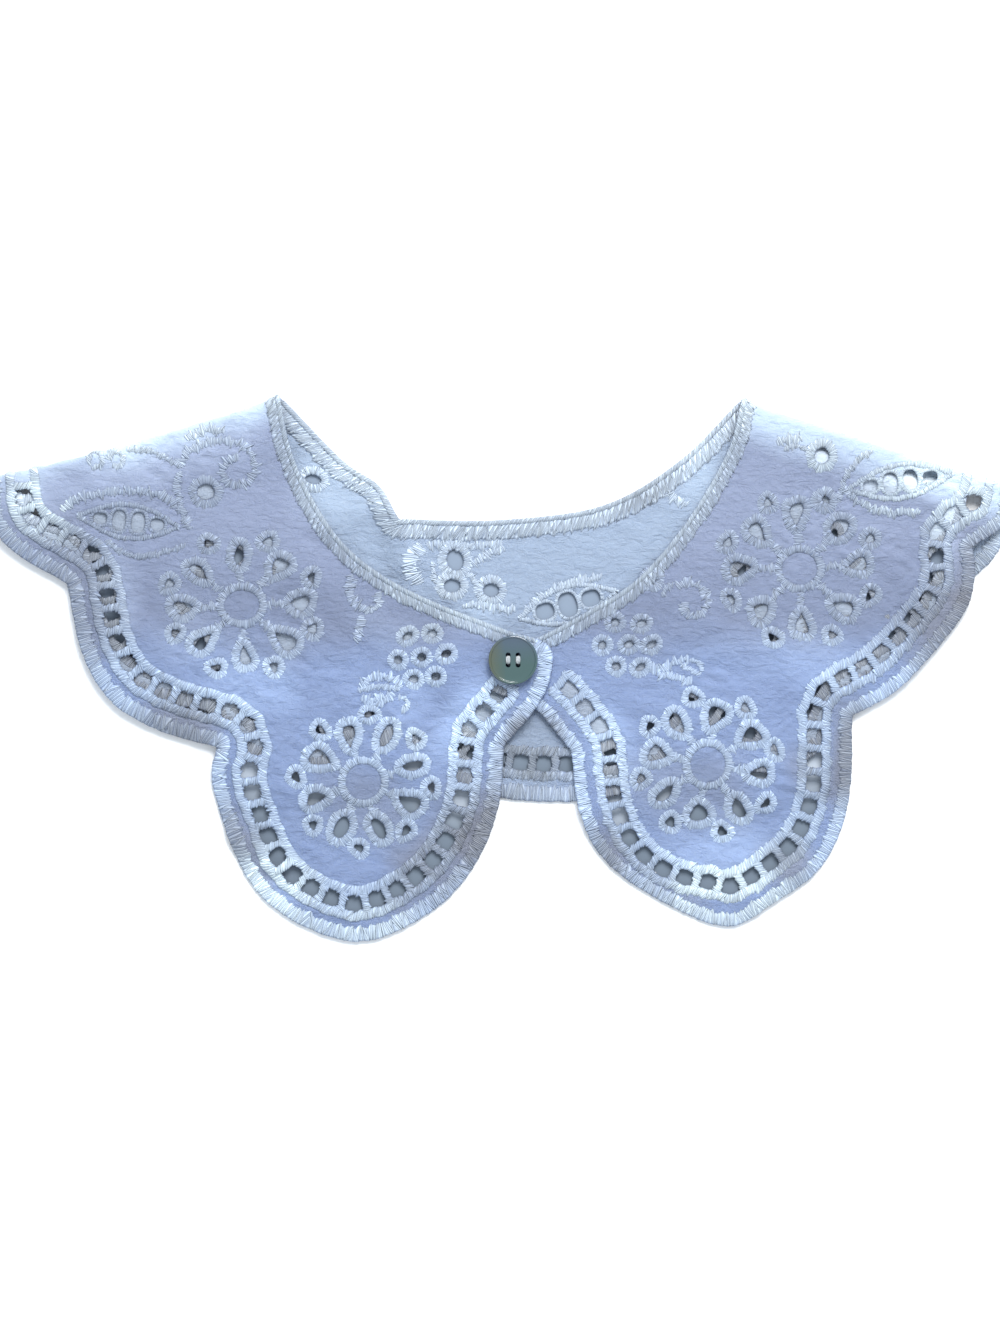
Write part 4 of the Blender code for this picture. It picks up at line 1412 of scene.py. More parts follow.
def doubling_and_painted_light_group() -> None:
    """Masks from 0 to 1 of the collar's place, for its doubled tone and its painted light and shade.

    The strip along the shoulder folds, at y + 0.3·|x| near its top, is painted light; Doubled is
    where the fronts lie on the back, and the part of that towards the shoulders is painted light;
    the darker patches of the table are painted shade, the pale and lit ones painted light.
    """
    nodes, source, result = new_group("doubling_and_painted_light", {"Place": None}, [*DRIFTS, *PATCHES])
    x, y = nodes.split(source[0])
    drift = nodes.maths("SUBTRACT", nodes.noise(source[0], 38.0, 2.0), 0.5)

    def mask(value: object, low: float, high: float, wander: float) -> Socket:
        """Smooth climb of a value from low to high, its place wandering with the cloud."""
        return nodes.climb(nodes.scaled(drift, wander, value), low, high)

    along = nodes.scaled(nodes.maths("ABSOLUTE", x), 0.30, nodes.scaled(x, 0.03, y))
    nodes.put(result, {name: mask(along if name == "FoldPaintedLight" else y, *span)
                       for name, span in DRIFTS.items()})
    for name, patches in PATCHES.items():
        total = 0.0
        for patch in patches:
            place = nodes.add("Mapping", {
                "Vector": source[0], "Location": (patch.x * MM, patch.y * MM, 0.0),
                "Rotation": (0.0, 0.0, math.radians(patch.turn)),
                "Scale": (patch.radius_x * MM, patch.radius_y * MM, 1.0)}, vector_type="TEXTURE").outputs[0]
            flat = nodes.add("VectorMath", {0: place, 1: (1.0, 1.0, 0.0)}, operation="MULTIPLY").outputs[0]
            away = nodes.add("VectorMath", {0: flat}, operation="LENGTH").outputs["Value"]
            inside = mask(nodes.maths("MULTIPLY", away, -1.0), -1.3, -0.3, 2.0)
            total = nodes.scaled(inside, patch.strength, total)
        nodes.put(result, {name: nodes.add("Clamp", {0: total}).outputs[0]})


def strands_group() -> None:
    """Fine threads along each stitch: their height, how deep in a groove or near an end (for the painted
    shade there), its tone.
    """
    nodes, source, result = new_group("strands", {"Stitch": None, "Strands": 3.0},
                                      ["Height", "GrooveShadeAndCloth", "Tone"])
    run, across = nodes.split(source[0])
    wander = nodes.noise(source[0], 2.3, 1.0)
    along = nodes.scaled(wander, 0.22, nodes.scaled(across, 0.15, run))
    wave = nodes.maths("SINE", nodes.maths("MULTIPLY", nodes.maths("MULTIPLY", along, source[1]), math.tau))
    off_middle = nodes.maths("ABSOLUTE", nodes.maths("SUBTRACT", nodes.maths("FRACT", run), 0.5))
    groove = nodes.climb(off_middle, 0.24, 0.5)
    off_crest = nodes.maths("ABSOLUTE", nodes.maths("SUBTRACT", across, 3.0 / 9.0))
    groove = nodes.maths("ADD", groove, nodes.climb(off_crest, 0.12, 0.30, 1.2))
    tone = nodes.add("TexWhiteNoise", {"W": nodes.maths("FLOOR", run)}, noise_dimensions="1D").outputs[0]
    nodes.put(result, {"Height": wave, "GrooveShadeAndCloth": groove, "Tone": tone})


@dataclass(frozen=True)
class Finish:
    """A finish; its own name is its material's."""

    name: str

    def shade(self, nodes: Nodes) -> dict:
        """What goes on the material's shader; each kind of finish has its own."""
        raise NotImplementedError

    def make(self) -> Material:
        """The material.

        Returns:
            The material, with the finish's name.
        """
        material = bpy.data.materials.new(self.name)
        material.use_nodes = True
        nodes = Nodes(material.node_tree)
        nodes.put(material.node_tree.nodes["Principled BSDF"], self.shade(nodes))
        return material


@dataclass(frozen=True)
class ClothFinish(Finish):
    """Tones that the cotton and its stitching both have: painted light on the fold strip, the doubled tone,
    painted shade in the darker patches and under another layer, and painted light there under the pale
    patches.
    """

    # Painted light on the fold strip, the doubled tone, painted shade, painted shade under another layer,
    # painted light there under the pale patches.
    folded: Colour
    doubled: Colour
    painted_shade: Colour
    under: Colour
    under_painted_light: Colour = (0.58, 0.66, 0.76)

    def below(self, nodes: Nodes, doubling_and_light_masks: bpy.types.Node, tone: Socket) -> tuple[Socket, Socket]:
        """How far it is under another layer, and its painted shade there, painted light under the pale
        patches.

        Args:
            nodes: the material's nodes.
            doubling_and_light_masks: its group of masks for the doubled tone and painted light and shade.
            tone: the tone in the open.

        Returns:
            The share, below 0 where it is painted lighter, and the tone.
        """
        under = nodes.add("Attribute", attribute_name="under").outputs["Fac"]
        lower = nodes.mixed(doubling_and_light_masks.outputs["Pale"], self.under, self.under_painted_light)
        return under, nodes.mixed(under, tone, lower)


@dataclass(frozen=True)
class CottonFinish(ClothFinish):
    """Thin crinkled cotton: matt, pale lavender in soft light, with a plain weave."""

    shade_tone: Colour = (0.172, 0.224, 0.368)
    light: Colour = (0.228, 0.294, 0.460)
    # Painted light towards the shoulders.
    high: Colour = (0.224, 0.260, 0.368)

    def shade(self, nodes: Nodes) -> dict:
        """Mottled tone by place, with painted light and shade by place; crinkle and weave as bump.

        Args:
            nodes: the material's nodes.

        Returns:
            The shader's inputs.
        """
        place = nodes.add("TexCoord").outputs["Object"]
        patches = nodes.group("mottle", {"Place": place, "Scale": 55.0})
        doubling_and_light_masks = nodes.group("doubling_and_painted_light", {"Place": place})
        tone = nodes.mixed(patches.outputs[0], self.shade_tone, self.light)
        # Doubled tone; painted light towards the shoulders and on the fold strip; painted shade in the darker
        # patches and under other layers; painted light in the lit patches.
        tone = nodes.mixed(nodes.maths("MULTIPLY", doubling_and_light_masks.outputs["Doubled"], 0.85), tone, self.doubled)
        for mask, colour in (("HighPaintedLight", self.high), ("FoldPaintedLight", self.folded), ("PaintedShade", self.painted_shade)):
            tone = nodes.mixed(doubling_and_light_masks.outputs[mask], tone, colour)
        _, tone = self.below(nodes, doubling_and_light_masks, tone)
        tone = nodes.mixed(doubling_and_light_masks.outputs["Lit"], tone, LIT, "MULTIPLY")
        drawn = nodes.add("Mapping", {"Vector": place, "Rotation": (0.0, 0.0, 0.35),
                                      "Scale": (260.0, 620.0, 300.0)})
        crinkle = nodes.noise(drawn.outputs[0], 1.0, 4.0, Roughness=0.65, Distortion=0.9)
        bent = nodes.bump(crinkle, 0.0008, 1.0)
        fine = nodes.add("Mapping", {"Vector": place, "Scale": (1900.0, 1900.0, 900.0)})
        u, v = nodes.split(fine.outputs[0])
        weave = nodes.maths("MULTIPLY", nodes.maths("SINE", u), nodes.maths("SINE", v))
        return {"Base Color": tone, "Roughness": 0.88, "Sheen Weight": 0.2, "Sheen Roughness": 0.5,
                "Subsurface Weight": 0.5, "Subsurface Radius": (1.0, 1.0, 1.0), "Subsurface Scale": 0.0012,
                "Specular IOR Level": 0.25, "Normal": nodes.bump(weave, 0.00005, 0.5, Normal=bent)}


@dataclass(frozen=True)
class ThreadFinish(ClothFinish):
    """Satin-stitch thread: whiter than the cloth, with a soft gloss along its strands."""

    light: Colour = (0.535, 0.66, 0.85)
    # Painted light, in the pale patches and on stitches painted lighter.
    pale: Colour = (0.68, 0.79, 0.86)
    # Painted shade in the grooves between stitches, partly the cloth's tone at the band's sides.
    groove: Colour = (0.44, 0.47, 0.57)
    roughness: float = 0.45

    def shade(self, nodes: Nodes) -> dict:
        """Tone by place and by stitch, with painted light and shade by place, painted shade in the grooves;
        strands as bump.

        Args:
            nodes: the material's nodes.

        Returns:
            The shader's inputs.
        """
        stitch = nodes.add("UVMap", uv_map="stitches").outputs[0]
        place = nodes.add("TexCoord").outputs["Object"]
        thread = nodes.group("strands", {"Stitch": stitch, "Strands": 2.0})
        patches = nodes.group("mottle", {"Place": place, "Scale": 90.0})
        # Painted shade in the grooves and at the band's sides, partly the cloth's tone, with each stitch's
        # own tone and the mottle.
        toned = nodes.maths("MULTIPLY", thread.outputs["Tone"], 0.3)
        depth = nodes.scaled(thread.outputs["GrooveShadeAndCloth"], 0.55, toned)
        depth = nodes.scaled(patches.outputs[0], 0.35, nodes.maths("SUBTRACT", depth, 0.15))
        clipped = nodes.add("Clamp", {0: depth}).outputs[0]
        doubling_and_light_masks = nodes.group("doubling_and_painted_light", {"Place": place})
        tone = self.light
        # Doubled tone; painted light on the fold strip and in the pale patches; painted shade in the darker
        # patches.
        for mask, colour in (("Doubled", self.doubled), ("FoldPaintedLight", self.folded), ("PaintedShade", self.painted_shade),
                             ("Pale", self.pale)):
            tone = nodes.mixed(doubling_and_light_masks.outputs[mask], tone, colour)
        # Painted shade under another layer; painted light where a stitch is painted lighter.
        under, tone = self.below(nodes, doubling_and_light_masks, tone)
        tone = nodes.mixed(nodes.maths("MULTIPLY", under, -1.0), tone, self.pale)
        tone = nodes.mixed(clipped, tone, self.groove, "MULTIPLY")
        tone = nodes.mixed(doubling_and_light_masks.outputs["Lit"], tone, LIT, "MULTIPLY")
        return {"Base Color": tone, "Roughness": self.roughness, "Sheen Weight": 0.15,
                "Specular IOR Level": 0.4, "Normal": nodes.bump(thread.outputs["Height"], 0.00022, 0.8)}


@dataclass(frozen=True)
class ShellFinish(Finish):
    """Polished smoked shell: dark and clear-coated, its tint drifting across the face."""

    tints: tuple[Colour, Colour, Colour]

    def shade(self, nodes: Nodes) -> dict:
        """Tint by slow noise over the face, under a clear coat.

        Args:
            nodes: the material's nodes.

        Returns:
            The shader's inputs.
        """
        place = nodes.add("TexCoord").outputs["Object"]
        middle = (-BUTTON_AT[0] * MM, -BUTTON_AT[1] * MM, 0.0)
        x, y = nodes.split(nodes.add("Mapping", {"Vector": place, "Location": middle}).outputs[0])
        cloud = nodes.group("mottle", {"Place": place, "Scale": 160.0}).outputs[0]
        upper, left = (
            nodes.add("MapRange", {0: nodes.scaled(cloud, 0.006, axis), 1: low, 2: high}).outputs[0]
            for axis, low, high in ((y, 0.001, 0.0095), (x, 0.0005, -0.005)))
        tint = nodes.mixed(left, nodes.mixed(upper, *self.tints[:2]), self.tints[2])
        return {"Base Color": tint, "Roughness": 0.16, "Coat Weight": 1.0, "Coat Roughness": 0.05}


@dataclass(frozen=True)
class PaperFinish(Finish):
    """Plain matt paper of one colour, or a grey sheet painted paler towards the neck and where raised, as
    painted light.
    """

    colour: Colour
    paler: Colour | None = None
    raised: Colour | None = None

    def shade(self, nodes: Nodes) -> dict:
        """The colour, mixed by place with the painted light where there are paler ones.

        Args:
            nodes: the material's nodes.

        Returns:
            The shader's inputs.
        """
        tone = self.colour
        if self.paler:
            _, y = nodes.split(nodes.add("TexCoord").outputs["Object"])
            # Painted light towards the neck and where a front stands off beside the back.
            back = nodes.add("MapRange", {0: y, 1: -0.030, 2: 0.0}).outputs[0]
            tone = nodes.mixed(back, self.colour, self.paler)
            raised = nodes.add("Attribute", attribute_name="raised").outputs["Fac"]
            tone = nodes.mixed(raised, tone, self.raised)
        return {"Base Color": tone, "Roughness": 0.95, "Specular IOR Level": 0.1}


# LIT is painted light; the under tones are painted shade for cloth and stitching under another layer.
LIT: Colour = (1.42, 1.42, 1.36)
COTTON_UNDER_PAINTED_SHADE = (0.30, 0.345, 0.42)
SATIN_UNDER_PAINTED_SHADE = (0.32, 0.35, 0.40)
WHITE = (0.80, 0.84, 0.86)

# Each finish's fold, shoulder and pale tones are painted light, its darker and under tones painted shade.
FRONT_COTTON = CottonFinish("eyelet_cotton", folded=(0.44, 0.53, 0.66), doubled=(0.174, 0.202, 0.288),
                            painted_shade=(0.18, 0.19, 0.232), under=COTTON_UNDER_PAINTED_SHADE)
# The back's cotton is painted lighter than the fronts', painted light that also lightens what shows through
# their holes.
BACK_COTTON = CottonFinish("eyelet_cotton_wrong_side_painted_lighter", folded=(0.50, 0.58, 0.69),
                           doubled=(0.264, 0.324, 0.424), painted_shade=(0.24, 0.288, 0.368), under=COTTON_UNDER_PAINTED_SHADE,
                           shade_tone=(0.24, 0.30, 0.416), light=(0.304, 0.368, 0.496),
                           high=(0.28, 0.342, 0.445))
FRONT_SATIN = ThreadFinish("satin_stitch", folded=(0.64, 0.73, 0.79), doubled=(0.365, 0.43, 0.55),
                           painted_shade=(0.225, 0.238, 0.274), under=SATIN_UNDER_PAINTED_SHADE)
# Its doubled tone is painted lighter, painted light.
BACK_SATIN = ThreadFinish("satin_stitch_wrong_side", folded=(0.63, 0.72, 0.82), doubled=(0.58, 0.68, 0.80),
                          painted_shade=(0.29, 0.33, 0.385), under=SATIN_UNDER_PAINTED_SHADE, light=(0.51, 0.60, 0.74),
                          pale=(0.68, 0.77, 0.84), roughness=0.6)
SHELL = ShellFinish("smoked_shell", ((0.030, 0.072, 0.070), (0.042, 0.070, 0.105), (0.062, 0.072, 0.040)))
SEWING_THREAD = ThreadFinish("sewing_thread", groove=(0.68, 0.69, 0.70), roughness=0.3, **dict.fromkeys(
    ("light", "folded", "doubled", "painted_shade", "pale", "under", "under_painted_light"), WHITE))
FLOOR_PAPER = PaperFinish("floor_paper", (0.99, 0.99, 0.99))
# Grey sheet under the collar: partly the grey table seen through its holes, partly painted shade; its paler
# tones painted light.
TABLE_AND_SHADE_MAT = PaperFinish("table_and_shade_mat", (0.155, 0.19, 0.235), (0.225, 0.275, 0.35), (0.50, 0.56, 0.64))


# ---------------- the collar's sub-assemblies

def link(name: str, data: bpy.types.ID) -> Object:
    """New object of that name and data in the scene.

    Args:
        name: its name.
        data: its mesh, lamp or camera.

    Returns:
        The object.
    """
    thing = bpy.data.objects.new(name, data)
    bpy.context.scene.collection.objects.link(thing)
    return thing


def add_piece(mesh: Mesh, material: Material) -> Object:
    """Object of a mesh, riding on the collar's body.

    Args:
        mesh: its mesh, in metres, in place.
        material: its finish.

    Returns:
        The object.
    """
    mesh.materials.append(material)
    piece = link(mesh.name, mesh)
    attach(piece, BODY)
    log.info("%s: %d faces", mesh.name, len(mesh.polygons))
    return piece


@dataclass
class Cloth:
    """The panel's plain cloth: a thin shell cut round every hole."""

    panel: Panel
    holes: list[Hole]

    def field_on(self, x: Array, y: Array) -> Array:
        """Distance in from the nearest edge of the cloth at each grid point, negative off the cloth.

        Args:
            x: X of the grid's points.
            y: their Y.

        Returns:
            Distances in the grid's shape.
        """
        points = as_points(x, y)
        clear = (depth_inside(points, self.panel.outline) - CLOTH_INSET).reshape(x.shape)
        for fold in self.panel.folds:
            clear = np.minimum(clear, fold.depth(points).reshape(x.shape) - self.panel.parting)
        for hole in self.holes:
            reach = 0.5 * max(hole.length, hole.width) + 3.0 * self.panel.plan.cell + 1.0
            window = (slice(*np.searchsorted(x[:, 0], (hole.x - reach, hole.x + reach))),
                      slice(*np.searchsorted(y[0], (hole.y - reach, hole.y + reach))))
            clear[window] = np.minimum(clear[window], hole.clearance(x[window], y[window]) - HOLE_SPARE)
        return clear

    def flat_grid(self) -> tuple[Array, Array]:
        """Square cells over the cloth, their border points drawn to its edge.

        A border point at distance f, where f's slope is g, moves by -f·g/|g|².

        Returns:
            The points used, and the corners of the quads between them.
        """
        cell, outline = self.panel.plan.cell, self.panel.outline
        x, y = grid_points(outline.min(axis=0) - cell, outline.max(axis=0) + cell, cell)
        f = self.field_on(x, y)
        corners = [f[:-1, :-1], f[1:, :-1], f[:-1, 1:], f[1:, 1:]]
        middle = 0.25 * (corners[0] + corners[1] + corners[2] + corners[3])
        kept = (middle > 0.0) & (np.sum([corner > 0.0 for corner in corners], axis=0) >= 2)
        uses = np.zeros(f.shape, int)
        for i, j in ((0, 0), (0, 1), (1, 0), (1, 1)):
            uses[i:i + kept.shape[0], j:j + kept.shape[1]] += kept
        slope_x, slope_y = np.gradient(f, cell)
        size = np.maximum(slope_x**2 + slope_y**2, 0.2)
        move = np.where((uses > 0) & (uses < 4), np.clip(f, -0.6 * cell, 0.6 * cell), 0.0) / size
        i, j = np.nonzero(kept)
        corner = i * f.shape[1] + j
        quads = np.stack([corner, corner + f.shape[1], corner + f.shape[1] + 1, corner + 1], axis=1)
        used, quads = np.unique(quads, return_inverse=True)
        return as_points(x - move * slope_x, y - move * slope_y)[used], quads.reshape(-1, 4)

    def build(self, material: Material) -> Object:
        """The shell, thickened upwards, standing for the panel's solid.

        Args:
            material: its finish.

        Returns:
            The cloth's object.
        """
        flat, quads = self.flat_grid()
        points = self.panel.lay(flat, np.full(len(flat), CLOTH_LOW))
        # The cover gives the cloth its painted shade under the layers on top.
        mesh = smooth_mesh(f"cloth_{self.panel.name}", points, quads, self.panel.covered(flat))
        piece = add_piece(mesh, material)
        wall = piece.modifiers.new("Wall", "SOLIDIFY")
        wall.thickness = CLOTH_THICK * MM
        wall.offset = 1.0
        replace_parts(piece, self.panel.name)
        return piece


@dataclass
class Embroidery:
    """All the stitching of one panel, and the holes that it edges."""

    panel: Panel
    satin: Material
    pieces: list[Object] = field(default_factory=list)
    holes: list[Hole] = field(default_factory=list)

    def finish(self, needle: Needle, name: str) -> None:
        """Turn a needle's surface into a piece of this panel."""
        mesh = needle.surface.mesh(f"{name}_{self.panel.name}")
        self.pieces.append(add_piece(mesh, self.satin))

    def edges(self) -> None:
        """The scalloped edge's broad band, and the neck edge's cord with a comb of stitches under it."""
        panel, plan = self.panel, self.panel.plan
        scallop = replace(Work.SCALLOP.value, width=plan.scallop_width)
        comb, cord = (replace(work.value, slant=work.value.slant * plan.inward)
                      for work in (Work.NECK_COMB, Work.NECK_CORD))
        comb = replace(comb, width=plan.comb_width)
        needle = Needle(panel, 1)
        path = panel.worked(panel.scallop_runs, 0.5 * scallop.width)
        needle.satin(path, scallop, blunt=True, even_side=-plan.inward)
        self.finish(needle, "scallop_band")
        needle = Needle(panel, 2)
        needle.satin(panel.worked(panel.neck_runs, COMB_INSET + 0.5 * comb.width), comb, blunt=True)
        path = panel.worked(panel.neck_runs, 0.5 * cord.width)
        needle.satin(path, cord, blunt=True, even_side=-plan.inward)
        self.finish(needle, "neck_band")

    def bulged(self, path: Array) -> Array:
        """The cord's path pushed out to a circle round each hole of the ladder.

        Args:
            path: the cord's middle line.

        Returns:
            The new middle line.
        """
        middles = np.array([(hole.x, hole.y) for hole in self.panel.ladder_holes])
        away = path[:, None] - middles
        distance = np.linalg.norm(away, axis=2)
        nearest = distance.argmin(axis=1)
        row = np.arange(len(path))
        short = np.maximum(CORD_CLEAR / distance[row, nearest], 1.0)[:, None]
        return relaxed(middles[nearest] + away[row, nearest] * short, 2)

    def ladder(self) -> None:
        """Two cords along the scalloped edge with a bar between each pair of holes."""
        panel = self.panel
        needle = Needle(panel, 3)
        first = np.array([panel.ladder_holes[0].x, panel.ladder_holes[0].y])
        for distance in CORD_INSETS:
            path = panel.nudged(panel.worked(panel.scallop_runs, distance))
            if panel.plan.beneath:
                nearest = np.argmin(np.linalg.norm(path - first, axis=1)[:len(path) // 3])
                path = path[np.searchsorted(run_length(path), run_length(path)[nearest] - CORD_LEAD):]
            toward_holes = int(math.copysign(panel.plan.inward, LADDER_INSET - distance))
            needle.satin(self.bulged(path), Work.CORD.value, blunt=not panel.plan.beneath,
                         even_side=toward_holes)
        runs, half = panel.gap_runs, 0.5 * LADDER_PITCH
        between = np.r_[runs[0] - half, 0.5 * (runs[1:] + runs[:-1]), runs[-1] + half]
        normals = left_of(at_runs(panel.row, between + 0.6) - at_runs(panel.row, between - 0.6))
        reach = 0.5 * (CORD_INSETS[1] - CORD_INSETS[0]) - BAR_SHORT
        for middle, normal in zip(at_runs(panel.row, between), normals):
            path = middle + np.linspace(-reach, reach, 12)[:, None] * normal
            if panel.on_it(path, 0.5).all():
                needle.satin(path, Work.BAR.value)
        self.holes += panel.ladder_holes
        self.finish(needle, "ladder")

    def flowers(self) -> None:
        """Petals, outer eyelets, ring and stems of each flower."""
        panel = self.panel
        needle = Needle(panel, 4)
        for flower in panel.plan.flowers:
            squash = flower.reach_y / flower.reach_x
            ring = Hole(flower.x, flower.y, 2 * RING_RADIUS, 2 * RING_RADIUS * squash)
            needle.satin(ring.loop(0.0), Work.RING.value, closed=True, even_side=1)
            petals = panel.petal_holes(flower)
            root = np.array([flower.x, flower.y])
            for petal in petals:
                middle = np.array([petal.x, petal.y])
                out = (middle - root) / np.linalg.norm(middle - root)
                near = root + out * (RING_RADIUS + STEM_GAP[0])
                far = middle - out * (0.5 * petal.length + STEM_GAP[1])
                needle.satin(np.linspace(near, far, 8), Work.STEM.value)
                needle.rim(petal, Work.PETAL.value)
            eyelets = panel.outer_eyelets(flower)
            for eyelet in eyelets:
                needle.rim(eyelet, Work.EYELET.value)
            self.holes += petals + eyelets
        self.finish(needle, "flowers")

    def details(self) -> None:
        """Clusters of eyelets, single eyelets, leaves, and every line of stitching between them."""
        panel, plan = self.panel, self.panel.plan
        needle = Needle(panel, 5)

        def rimmed(holes: Sequence[Hole], stitch: Stitch) -> None:
            """Work round each hole, and have the cloth cut there.

            Args:
                holes: the holes.
                stitch: the kind of stitching round them.
            """
            for hole in holes:
                needle.rim(hole, stitch)
            self.holes += holes

        for cluster in plan.clusters:
            rimmed(panel.cluster_eyelets(cluster), replace(Work.EYELET.value, width=2.4))
        rimmed(plan.eyelets, Work.PETAL.value)
        for leaf in plan.leaves:
            needle.satin(leaf.outline(0.5 * LEAF_RIM), Work.LEAF.value, closed=True)
            rimmed(leaf.holes(), replace(Work.EYELET.value, width=1.3, ragged=0.2))
        for work, knots in plan.strokes:
            needle.satin(panel.trimmed(smooth_run(knots, 0.5)), work.value)
        self.finish(needle, "details")

    def build(self) -> None:
        """Work every part of the embroidery."""
        self.edges()
        self.ladder()
        self.flowers()
        self.details()


@dataclass
class Button:
    """Four-hole shell button, its two stitches and the wound thread that it stands on."""

    radius: float = 7.35
    thick: float = 2.5
    lip: float = 0.5
    sink: float = 0.3
    rounding: float = 0.45
    undercut: float = 1.2
    hole_radius: float = 0.75
    hole_spread: float = 2.1
    stand_off: float = 0.5
    shank_radius: float = 1.2
    segments: int = 96
    bevel: float = 0.12
    pin_sides: int = 24
    pin_span: Point = (-1.0, 4.0)
    strand_radius: float = 0.33
    strand_sides: int = 12
    strand_sink: float = 1.1
    strand_rise: float = 1.75

    @property
    def base(self) -> float:
        """Height of its underside, over both fronts and the back's worked edge."""
        return 2 * LAYER + WALL + EDGE_RISE + self.stand_off

    def profile(self) -> Array:
        """Half outline as (x, z) down the outer side: dished face, lip, round edge, underside.

        Returns:
            Its points, from the middle of the face to the middle of the underside.
        """
        corner_x, corner_z = self.radius - self.rounding, self.thick - self.rounding
        a = np.linspace(0.0, math.pi / 2, 9)
        edge = np.stack([corner_x + self.rounding * np.sin(a), corner_z + self.rounding * np.cos(a)], axis=1)
        face_z = self.thick - self.sink
        t = np.linspace(0.0, 1.0, 7)
        slope = np.stack([corner_x - self.lip + (self.lip - self.bevel) * t,
                          face_z + self.sink * ease(t, 0.0, 1.0)], axis=1)
        face = [(share * self.radius, face_z) for share in (0.0, 0.35, 0.7)]
        under = [(self.radius, self.rounding), (self.radius - 0.3 * self.undercut, self.bevel),
                 (self.radius - self.undercut, 0.0), (0.0, 0.0)]
        return np.vstack([face, slope, edge, under])

    def turned_mesh(self, name: str, profile: Array, low: float) -> Mesh:
        """Closed surface: the profile carried round the button's axis, at (x·cos a, x·sin a, z).

        Args:
            name: the mesh's name.
            profile: its half outline, from the top down.
            low: height of the outline's Z 0.

        Returns:
            The mesh.
        """
        segments = self.segments
        radius, z = profile[1:-1].T
        a = np.linspace(0.0, math.tau, segments, endpoint=False)[:, None]
        ring = np.stack([radius * np.cos(a), radius * np.sin(a), z + 0.0 * a], axis=-1).reshape(-1, 3)
        points = np.vstack([ring, [0.0, 0.0, profile[0, 1]], [0.0, 0.0, profile[-1, 1]]]) + (*BUTTON_AT, low)
        quads, _, _ = grid_faces(segments, len(z), True, False)
        top = np.arange(segments) * len(z)
        bottom = top + len(z) - 1
        upper, lower = np.full((2, segments), [[len(ring)], [len(ring) + 1]])
        fans = np.concatenate([np.stack([upper, top, np.roll(top, -1)], axis=1),
                               np.stack([lower, np.roll(bottom, -1), bottom], axis=1)])
        mesh = bpy.data.meshes.new(name)
        mesh.from_pydata((points * MM).tolist(), [], quads.tolist() + fans.tolist())
        mesh.update()
        return mesh

    def bored(self, mesh: Mesh) -> Mesh:
        """The turned mesh with its four holes cut by upright pins.

        Args:
            mesh: the turned button.

        Returns:
            A new mesh, with its sharp edges marked.
        """
        blank = link("blank", mesh)
        pins = []
        count = self.pin_sides
        a = np.linspace(0.0, math.tau, count, endpoint=False)
        circle = self.hole_radius * np.stack([np.cos(a), np.sin(a)], axis=1)
        sides, _, _ = grid_faces(2, count, False, True)
        for turn in math.tau * (np.arange(4) + 0.5) / 4:
            middle = np.array(BUTTON_AT) + self.hole_spread * np.array([math.cos(turn), math.sin(turn)])
            rings = [np.column_stack([middle + circle, np.full(count, self.base + z)]) for z in self.pin_span]
            pin = bpy.data.meshes.new("pin")
            pin.from_pydata((np.vstack(rings) * MM).tolist(), [],
                            [*sides.tolist(), [*range(count)][::-1], [*range(count, 2 * count)]])
            pins.append(link("pin", pin))
            cut = blank.modifiers.new("Bore", "BOOLEAN")
            cut.operation = "DIFFERENCE"
            cut.object = pins[-1]
        evaluated = blank.evaluated_get(bpy.context.evaluated_depsgraph_get())
        result = bpy.data.meshes.new_from_object(evaluated)
        for temporary in [blank, *pins]:
            bpy.data.objects.remove(temporary, do_unlink=True)
        result.name = "shell_button"
        result.shade_smooth()
        result.set_sharp_from_angle(angle=math.radians(35.0))
        return result

    def strand(self, surface: Surface, path: Array, first: float) -> None:
        """Round thread along a path in one upright plane: a circle of its radius across each point.

        Args:
            surface: where it is gathered.
            path: its middle line.
            first: where its texture starts.
        """
        heading = np.gradient(path, axis=0)
        heading /= np.linalg.norm(heading, axis=1)[:, None]
        side = np.broadcast_to(np.array([1.0, 0.0, 0.0]), heading.shape)
        up = np.cross(heading, side)
        count = self.strand_sides
        sides = np.arange(count)
        a = (math.tau * sides / count)[None, :, None]
        ring = self.strand_radius * (np.cos(a) * side[:, None] + np.sin(a) * up[:, None])
        faces, rows, columns = grid_faces(len(path), count, False, True)
        places = np.stack([first + columns / 4.0 + rows / 6.0, rows / 12.0], axis=-1)
        points = (path[:, None] + ring).reshape(-1, 3)
        caps = [sides, (len(path) - 1) * count + sides[::-1]]
        surface.add(points, faces[:, ::-1], places[:, ::-1], caps, np.zeros(len(points)))

    def stitches(self) -> Surface:
        """Two plump stitches of three strands, each over the face from one hole into the next.

        A strand's height over the face is its rise times sin(pi·share)^0.35; its ends go
        down the holes at their near sides, drawn together there.

        Returns:
            The six strands, gathered.
        """
        surface = Surface()
        hole = self.hole_spread / math.sqrt(2.0)
        face = self.base + self.thick - self.sink
        share = np.linspace(0.0, 1.0, 22)
        arch = np.sin(math.pi * share)
        for column in (-1, 1):
            for strand in (-1, 0, 1):
                x = BUTTON_AT[0] + column * hole + strand * self.strand_radius * (0.5 + 0.6 * arch)
                y = BUTTON_AT[1] + 0.62 * hole * np.cos(math.pi * share) * (1.0 + 0.04 * strand)
                z = face - self.strand_sink + (self.strand_rise - 0.15 * abs(strand)) * arch**0.35
                self.strand(surface, np.stack([x, y, z], axis=1), 7.0 * (strand + 3 * column))
        return surface

